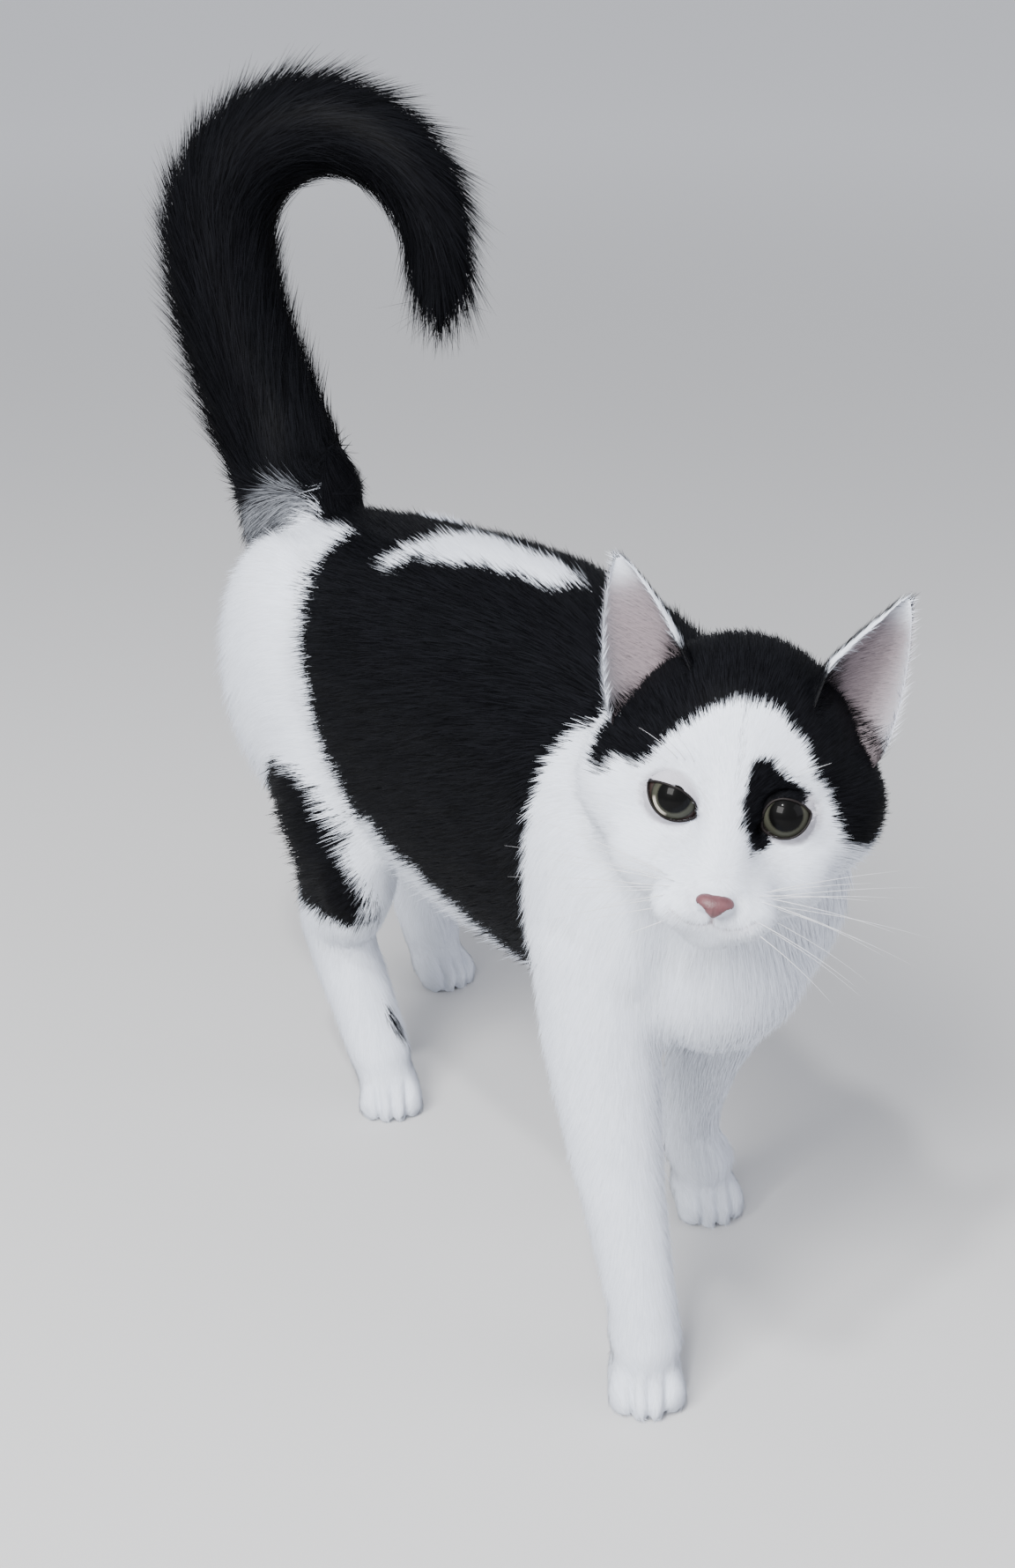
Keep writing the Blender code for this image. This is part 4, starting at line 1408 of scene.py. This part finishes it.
def make_ear(side):
    """An ear, black behind and thinly haired in front, with the fields for the hair on it."""
    mesh = ear_shape(side)
    ear = new_object("ear_skin_" + side, mesh)
    points, normals = read_points(mesh), read_normals(mesh)
    inner, rim, tall = (read_field_values(mesh, name) for name in ("inside", "edge", "height"))
    in_front = inner > 0.5
    root, tip, _turn = EARS[side]
    axis = np.array(HEAD_TURN @ (tip - root).normalized())
    outward = np.array(HEAD_TURN @ Vector((math.copysign(1, root.x), 0, 0)))
    lie = np.where(in_front[:, None], axis * 0.55 + outward, axis + outward * 0.05)
    share = np.where(in_front, 190.0, 260.0) * smooth(-0.10, 0.02, tall)
    low = mix(0.9, -1.2, smooth(-0.02, 0.26, tall + 0.10 * rim))
    dark = np.where(in_front, low, mix(1.0, -1.0, smooth(0.30, 0.62, rim)))
    hx, _, hz = head_points(points).T
    foot = np.where(hx > 0, 2.0 + 0.80 * (4.4 - hx), 1.7 + 0.93 * (4.16 + hx)) - hz
    inner_rim = all_of(2.75 - np.abs(hx), 4.5 - hz)
    dark = any_of(dark, np.clip(3.0 * any_of(foot, inner_rim), -1.5, 1.0))
    set_fields(
        mesh,
        lie=along_surface(lie, normals),
        reach=np.where(in_front, 0.66 - 0.25 * np.clip(tall, 0, 1), 0.46) * CM,
        girth=np.where(in_front, 0.026, 0.042) * CM,
        rise=np.where(in_front, 0.20, 0.16),
        thick=share / CM**2,
        depth_dark=dark,
        ragged=0.5,
        mingle=0.3,
        dark=smooth(-0.5, 0.5, dark),
        shade=0.4,
        # The ear skin takes part of the roots' darker tone: painted shade under the hair
        along=0.4,
        pink=inner * (1 - 0.8 * rim) * smooth(1.0, 0.75, tall),
    )
    set_field(mesh, "region", np.zeros(len(mesh.polygons)), "INT", "FACE")
    mesh.materials.append(ear_material())
    unwrap(ear)
    return ear


# ---------------------------------------------------------------- eyes, nose, whiskers

EYE_RINGS = 64
EYE_SPOKES = 72
CORNEA_RISE = 0.00085
LID_RIM_POINTS = 120
LID_RIM_SIDES = 8
NOSE_MIDDLE = Vector((0, -0.0289, -0.0219))
NOSE_HALF_SIZE = Vector((0.0088, 0.0046, 0.0039))
# Each nostril is a comma of three round hollows: place across and up, and size
NOSTRIL = ((0.0044, -0.0006, 0.0011), (0.0052, -0.0002, 0.0009), (0.0035, -0.0010, 0.0008))
# The whiskers end before these places, to the cat's right and ahead
WHISKER_ROOM = (-0.0805, -0.2545)
WHISKER_THICK = 0.00016


def make_eye(side):
    """An eyeball with a raised cornea; its rings carry the iris and pupil."""
    outer = 1 if side == "left" else -1
    look = Vector((outer * 0.04, -1, 0.32)).normalized()
    right = look.cross(Vector((0, 0, 1))).normalized()
    up = right.cross(look)
    middle = HEAD.inverted() @ EYE_BALLS[side]
    radius = EYE_RADIUS * 0.985
    rows = []
    places = []
    for k in range(1, EYE_RINGS):
        angle = math.pi * (k / EYE_RINGS) ** 1.15
        bulge = CORNEA_RISE * math.cos(min(angle / math.radians(IRIS_ANGLE + 4), 1) * math.pi / 2) ** 2
        row = []
        for s in range(EYE_SPOKES):
            turn = 2 * math.pi * s / EYE_SPOKES
            way = look * math.cos(angle) + (right * math.cos(turn) + up * math.sin(turn)) * math.sin(angle)
            row.append(HEAD @ (middle + way * (radius + bulge)))
            places.append((math.degrees(angle), math.cos(turn), math.sin(turn)))
        rows.append(row)
    shape = bmesh.new()
    add_rows(shape, rows)
    mesh = smooth_mesh("eye_ball_" + side, shape)
    angles, turn_x, turn_y = np.array(places).T
    set_fields(mesh, ring=angles / 90.0, turn_x=turn_x * outer, turn_y=turn_y)
    mesh.materials.append(eye_material(side))
    return new_object("eye_ball_" + side, mesh)


def make_lid_rim(side):
    """The dark wet edge of the lids: a thin closed cord along the opening."""
    middle = ball_middle(side)
    line = []
    for k in range(LID_RIM_POINTS):
        turn = 2 * math.pi * k / LID_RIM_POINTS
        upper = math.sin(turn) > 0
        over = float(lid_edge(math.cos(turn), upper, side)) * (1 if upper else -1)
        x, z = from_lid_place(LID_HALF_LENGTHS[side] * math.cos(turn), over, side)
        line.append((x, float(shell_front(x, z, middle)), z))
    line = np.array(line)
    rows = []
    for k in range(LID_RIM_POINTS):
        ahead = line[(k + 1) % LID_RIM_POINTS] - line[k - 1]
        ahead /= np.linalg.norm(ahead)
        away = line[k] - middle
        away /= np.linalg.norm(away)
        across = np.cross(ahead, away)
        # The cord is thickest at the inner corner
        size = 1 + 0.7 * max(0.0, -math.cos(2 * math.pi * k / LID_RIM_POINTS)) ** 12
        row = []
        for s in range(LID_RIM_SIDES):
            turn = 2 * math.pi * s / LID_RIM_SIDES
            at = line[k] + (away * math.cos(turn) * 0.034 + across * math.sin(turn) * 0.040) * size
            row.append(HEAD @ Vector(at * CM))
        rows.append(row)
    shape = bmesh.new()
    lines = add_rows(shape, rows, capped=False)
    bridge(shape, lines[-1], lines[0])
    mesh = smooth_mesh("lid_rim_" + side, shape)
    mesh.materials.append(plain_material(
        "lid_edge", 900, (0.004, 0.0035, 0.0035), (0.014, 0.010, 0.010),
        {"Roughness": 0.5, "Specular IOR Level": 0.2},
    ))
    return new_object("lid_rim_" + side, mesh)


def make_nose():
    """The nose pad: wide above, drawn in below, with comma-shaped nostrils and a middle groove."""
    shape = bmesh.new()
    bmesh.ops.create_icosphere(shape, subdivisions=5, radius=1)
    hollow = shape.verts.layers.float.new("hollow")
    for vert in shape.verts:
        x, y, z = vert.co
        wide = NOSE_HALF_SIZE.x * (0.60 + 0.40 * z - 0.06 * z * z)
        at = Vector((x * wide, y * NOSE_HALF_SIZE.y, z * NOSE_HALF_SIZE.z))
        at.z += -0.0010 * abs(x) ** 1.5 * (z > 0) + 0.0006 * abs(x)
        if y < 0:
            nostril = max(
                math.exp(-((math.hypot(abs(at.x) - across, at.z - up) / size) ** 4))
                for across, up, size in NOSTRIL
            )
            groove = math.exp(-((at.x / 0.0004) ** 2)) * max(0.0, min(1.0, -z + 0.4))
            at.y += 0.0018 * nostril + 0.0004 * groove
            # hollow marks the painted shade: full in the nostrils, lighter in the middle groove
            vert[hollow] = max(nostril, groove * 0.6)
        vert.co = at
    shape.transform(HEAD @ Matrix.Translation(NOSE_MIDDLE))
    mesh = smooth_mesh("nose_pad", shape)
    mesh.materials.append(nose_material())
    return new_object("nose_pad", mesh)


def whisker_rows(line, thick, sides=4):
    """Rings round a hair's line, tapering to its end."""
    rows = []
    last = len(line) - 1
    for k, at in enumerate(line):
        ahead = (line[min(k + 1, last)] - line[max(k - 1, 0)]).normalized()
        side = ahead.cross(Vector((0.3, 0.2, 1))).normalized()
        up = side.cross(ahead)
        size = thick * (1 - 0.9 * k / last)
        turns = (2 * math.pi * s / sides for s in range(sides))
        rows.append([at + (side * math.cos(t) + up * math.sin(t)) * size for t in turns])
    return rows


def whisker_roots():
    """Root, way and length of each whisker on the pads and over the eyes, in the head's frame."""
    for outer in (-1, 1):
        for row in range(4):
            for place in range(4 if row in (1, 2) else 3):
                start = Vector((outer * (1.15 + 0.18 * place), -2.0 + 0.32 * place, -2.10 - 0.24 * row)) * CM
                way = Vector((outer * (1.0 + 0.1 * place), -0.30 + 0.28 * place, 0.30 - 0.26 * row))
                yield start, way, 0.046 + 0.006 * place - 0.004 * abs(row - 1.5)
        for place in range(3):
            start = Vector((outer * (1.5 + 0.25 * place), -0.4, 1.35)) * CM
            yield start, Vector((outer * (0.35 + 0.2 * place), -0.75, 0.85)), 0.024


def whisker_line(at, way, length):
    """A drooping hair, shortened until it stays within its room."""
    droop = Vector((0.1, 0.45, -0.35)) * 0.5
    while True:
        line = [at + way * (length * t) + droop * (length * t * t) for t in (k / 9 for k in range(10))]
        if min(p.x for p in line) >= WHISKER_ROOM[0] and min(p.y for p in line) >= WHISKER_ROOM[1]:
            return line
        length *= 0.95


def make_whiskers(skin):
    """White whiskers on the pads and over the eyes."""
    rng = np.random.default_rng(bpy.context.scene.cat_coat.seed)
    tree = BVHTree.FromObject(skin, bpy.context.evaluated_depsgraph_get())
    shape = bmesh.new()
    for start, way, length in whisker_roots():
        length *= rng.uniform(0.85, 1.1)
        way = way.normalized() + Vector(rng.normal(size=3)) * 0.05
        at, normal, _index, _distance = tree.find_nearest(HEAD @ start)
        line = whisker_line(at - normal * 0.0006, (HEAD_TURN @ way).normalized(), length)
        add_rows(shape, whisker_rows(line, WHISKER_THICK))
    mesh = smooth_mesh("whiskers", shape)
    mesh.materials.append(plain_material(
        "whisker", 120, (0.62, 0.63, 0.66), (0.90, 0.91, 0.93), {"Roughness": 0.4},
    ))
    return new_object("whiskers", mesh)


# ---------------------------------------------------------------- stage

# Each lamp: name, place, size, power and colour
LAMPS = (
    ("key", (-1.25, -0.75, 1.35), 0.9, 58.0, (1.0, 0.99, 0.975)),
    ("fill", (1.2, -1.3, 1.0), 1.4, 12.0, (0.93, 0.92, 1.0)),
    ("glint", (-0.42, -0.42, 1.20), 0.08, 7.0, (1.0, 1.0, 1.0)),
)
LAMP_AIM = Vector((0, 0, 0.18))
FLOOR_HALF = 20
SENSOR = 36
LENS = 48.5393


def make_floor():
    """A wide flat floor at the soles."""
    shape = bmesh.new()
    sides = (-FLOOR_HALF, FLOOR_HALF)
    add_rows(shape, [[Vector((x, y, 0)) for x in sides] for y in sides], closed=False, capped=False)
    mesh = smooth_mesh("floor", shape)
    mesh.materials.append(floor_material())
    return new_object("floor", mesh)


def hang_lamps(scene):
    """A pale room, a large soft key, a weaker fill and a small lamp for the glint in the eyes."""
    world = bpy.data.worlds.new("studio")
    world.use_nodes = True
    room = world.node_tree.nodes["Background"].inputs
    room["Color"].default_value = (0.78, 0.80, 0.86, 1)
    room["Strength"].default_value = 0.85
    scene.world = world
    for name, spot, size, power, colour in LAMPS:
        lamp = bpy.data.lights.new(name, "AREA")
        lamp.size = size
        lamp.energy = power
        lamp.color = colour
        holder = bpy.data.objects.new(name, lamp)
        scene.collection.objects.link(holder)
        holder.location = spot
        holder.rotation_euler = (LAMP_AIM - Vector(spot)).to_track_quat("-Z", "Y").to_euler()


def place_camera(scene):
    """The camera, above and before the cat's right shoulder."""
    stage = scene.cat_stage
    lens = bpy.data.cameras.new("camera")
    lens.sensor_width = SENSOR
    lens.lens = LENS
    lens.clip_start = 0.01
    camera = bpy.data.objects.new("camera", lens)
    scene.collection.objects.link(camera)
    camera.location = stage.camera_place
    camera.rotation_euler = (math.pi / 2 - stage.camera_pitch, 0, stage.camera_heading)
    scene.camera = camera


# ---------------------------------------------------------------- operators


class CatSkin(bpy.types.Operator):
    """Draws one skin over all the flesh, with lids, mouth and toes."""

    bl_idname = "cat.skin"
    bl_label = "Skin"

    def execute(self, context):
        skin = make_skin()
        finish_piece(skin, "white_coat", *FLESH)
        return {"FINISHED"}


class CatEars(bpy.types.Operator):
    """Makes both ears, with the short hair on them."""

    bl_idname = "cat.ears"
    bl_label = "Ears"

    def execute(self, context):
        tuft = tuft_template()
        fur = coat_material("coat", grain=False)
        for side, seed in (("right", 301), ("left", 302)):
            ear = make_ear(side)
            fullness = context.scene.cat_coat.fullness
            hair = grow_coat("ear_coat_" + side, ear, tuft, 0, fullness, 0.12, seed, fur)
            finish_piece(ear, "ear", "ear_" + side)
            finish_piece(hair, "white_coat")
        bpy.data.objects.remove(tuft)
        return {"FINISHED"}


class CatEyes(bpy.types.Operator):
    """Makes both eyes and the dark edges of their lids."""

    bl_idname = "cat.eyes"
    bl_label = "Eyes"

    def execute(self, context):
        for side in ("right", "left"):
            finish_piece(make_eye(side), "eye", "eye_" + side)
            finish_piece(make_lid_rim(side), "nose")
        return {"FINISHED"}


class CatNose(bpy.types.Operator):
    """Makes the nose pad with its nostrils."""

    bl_idname = "cat.nose"
    bl_label = "Nose"

    def execute(self, context):
        finish_piece(make_nose(), "nose", "nose")
        return {"FINISHED"}


class CatCoat(bpy.types.Operator):
    """Grows the coat over the skin, one piece for each region."""

    bl_idname = "cat.coat"
    bl_label = "Coat"

    def execute(self, context):
        skin = bpy.data.objects[SKIN_NAME]
        coat = context.scene.cat_coat
        tuft = tuft_template()
        fur = coat_material("coat", grain=False)
        for region, name in enumerate(REGIONS):
            disorder = 0.10 if name in ("face", "front_legs", "hind_legs") else 0.16
            piece = grow_coat(
                "coat_" + name, skin, tuft, region, coat.fullness, disorder, coat.seed + region, fur
            )
            is_black = name in ("tail", "flank_right", "flank_left")
            finish_piece(piece, "black_coat" if is_black else "white_coat")
        bpy.data.objects.remove(tuft)
        return {"FINISHED"}


class CatWhiskers(bpy.types.Operator):
    """Makes the whiskers."""

    bl_idname = "cat.whiskers"
    bl_label = "Whiskers"

    def execute(self, context):
        finish_piece(make_whiskers(bpy.data.objects[SKIN_NAME]), "white_coat")
        return {"FINISHED"}


class CatStage(bpy.types.Operator):
    """Sets the floor, the lights and the camera."""

    bl_idname = "cat.stage"
    bl_label = "Stage"

    def execute(self, context):
        make_floor()
        hang_lamps(context.scene)
        place_camera(context.scene)
        return {"FINISHED"}


class CatPanel(bpy.types.Panel):
    """Lists the cat's pieces in the sidebar."""

    bl_idname = "VIEW3D_PT_cat"
    bl_label = "Cat"
    bl_space_type = "VIEW_3D"
    bl_region_type = "UI"
    bl_category = "Cat"

    def draw(self, context):
        layout = self.layout
        for settings in (context.scene.cat_coat, context.scene.cat_face, context.scene.cat_stage):
            box = layout.box()
            for name in settings.__annotations__:
                box.prop(settings, name)
        for operator in OPERATORS:
            layout.operator(operator.bl_idname)


OPERATORS = (CatStage, CatSkin, CatEyes, CatNose, CatEars, CatCoat, CatWhiskers)
GROUPS = {"cat_coat": CatCoatSettings, "cat_face": CatFaceSettings, "cat_stage": CatStageSettings}


def register():
    """Registers the settings, the operators and the panel."""
    for cls in (*GROUPS.values(), *OPERATORS, CatPanel):
        bpy.utils.register_class(cls)
    for name, cls in GROUPS.items():
        setattr(bpy.types.Scene, name, PointerProperty(type=cls))


def unregister():
    """Takes them away again."""
    for name in GROUPS:
        delattr(bpy.types.Scene, name)
    for cls in (CatPanel, *OPERATORS[::-1], *GROUPS.values()):
        bpy.utils.unregister_class(cls)


def main():
    """Makes the whole cat."""
    register()
    for operator in OPERATORS:
        family, name = operator.bl_idname.split(".")
        getattr(getattr(bpy.ops, family), name)()


if __name__ == "__main__":
    main()
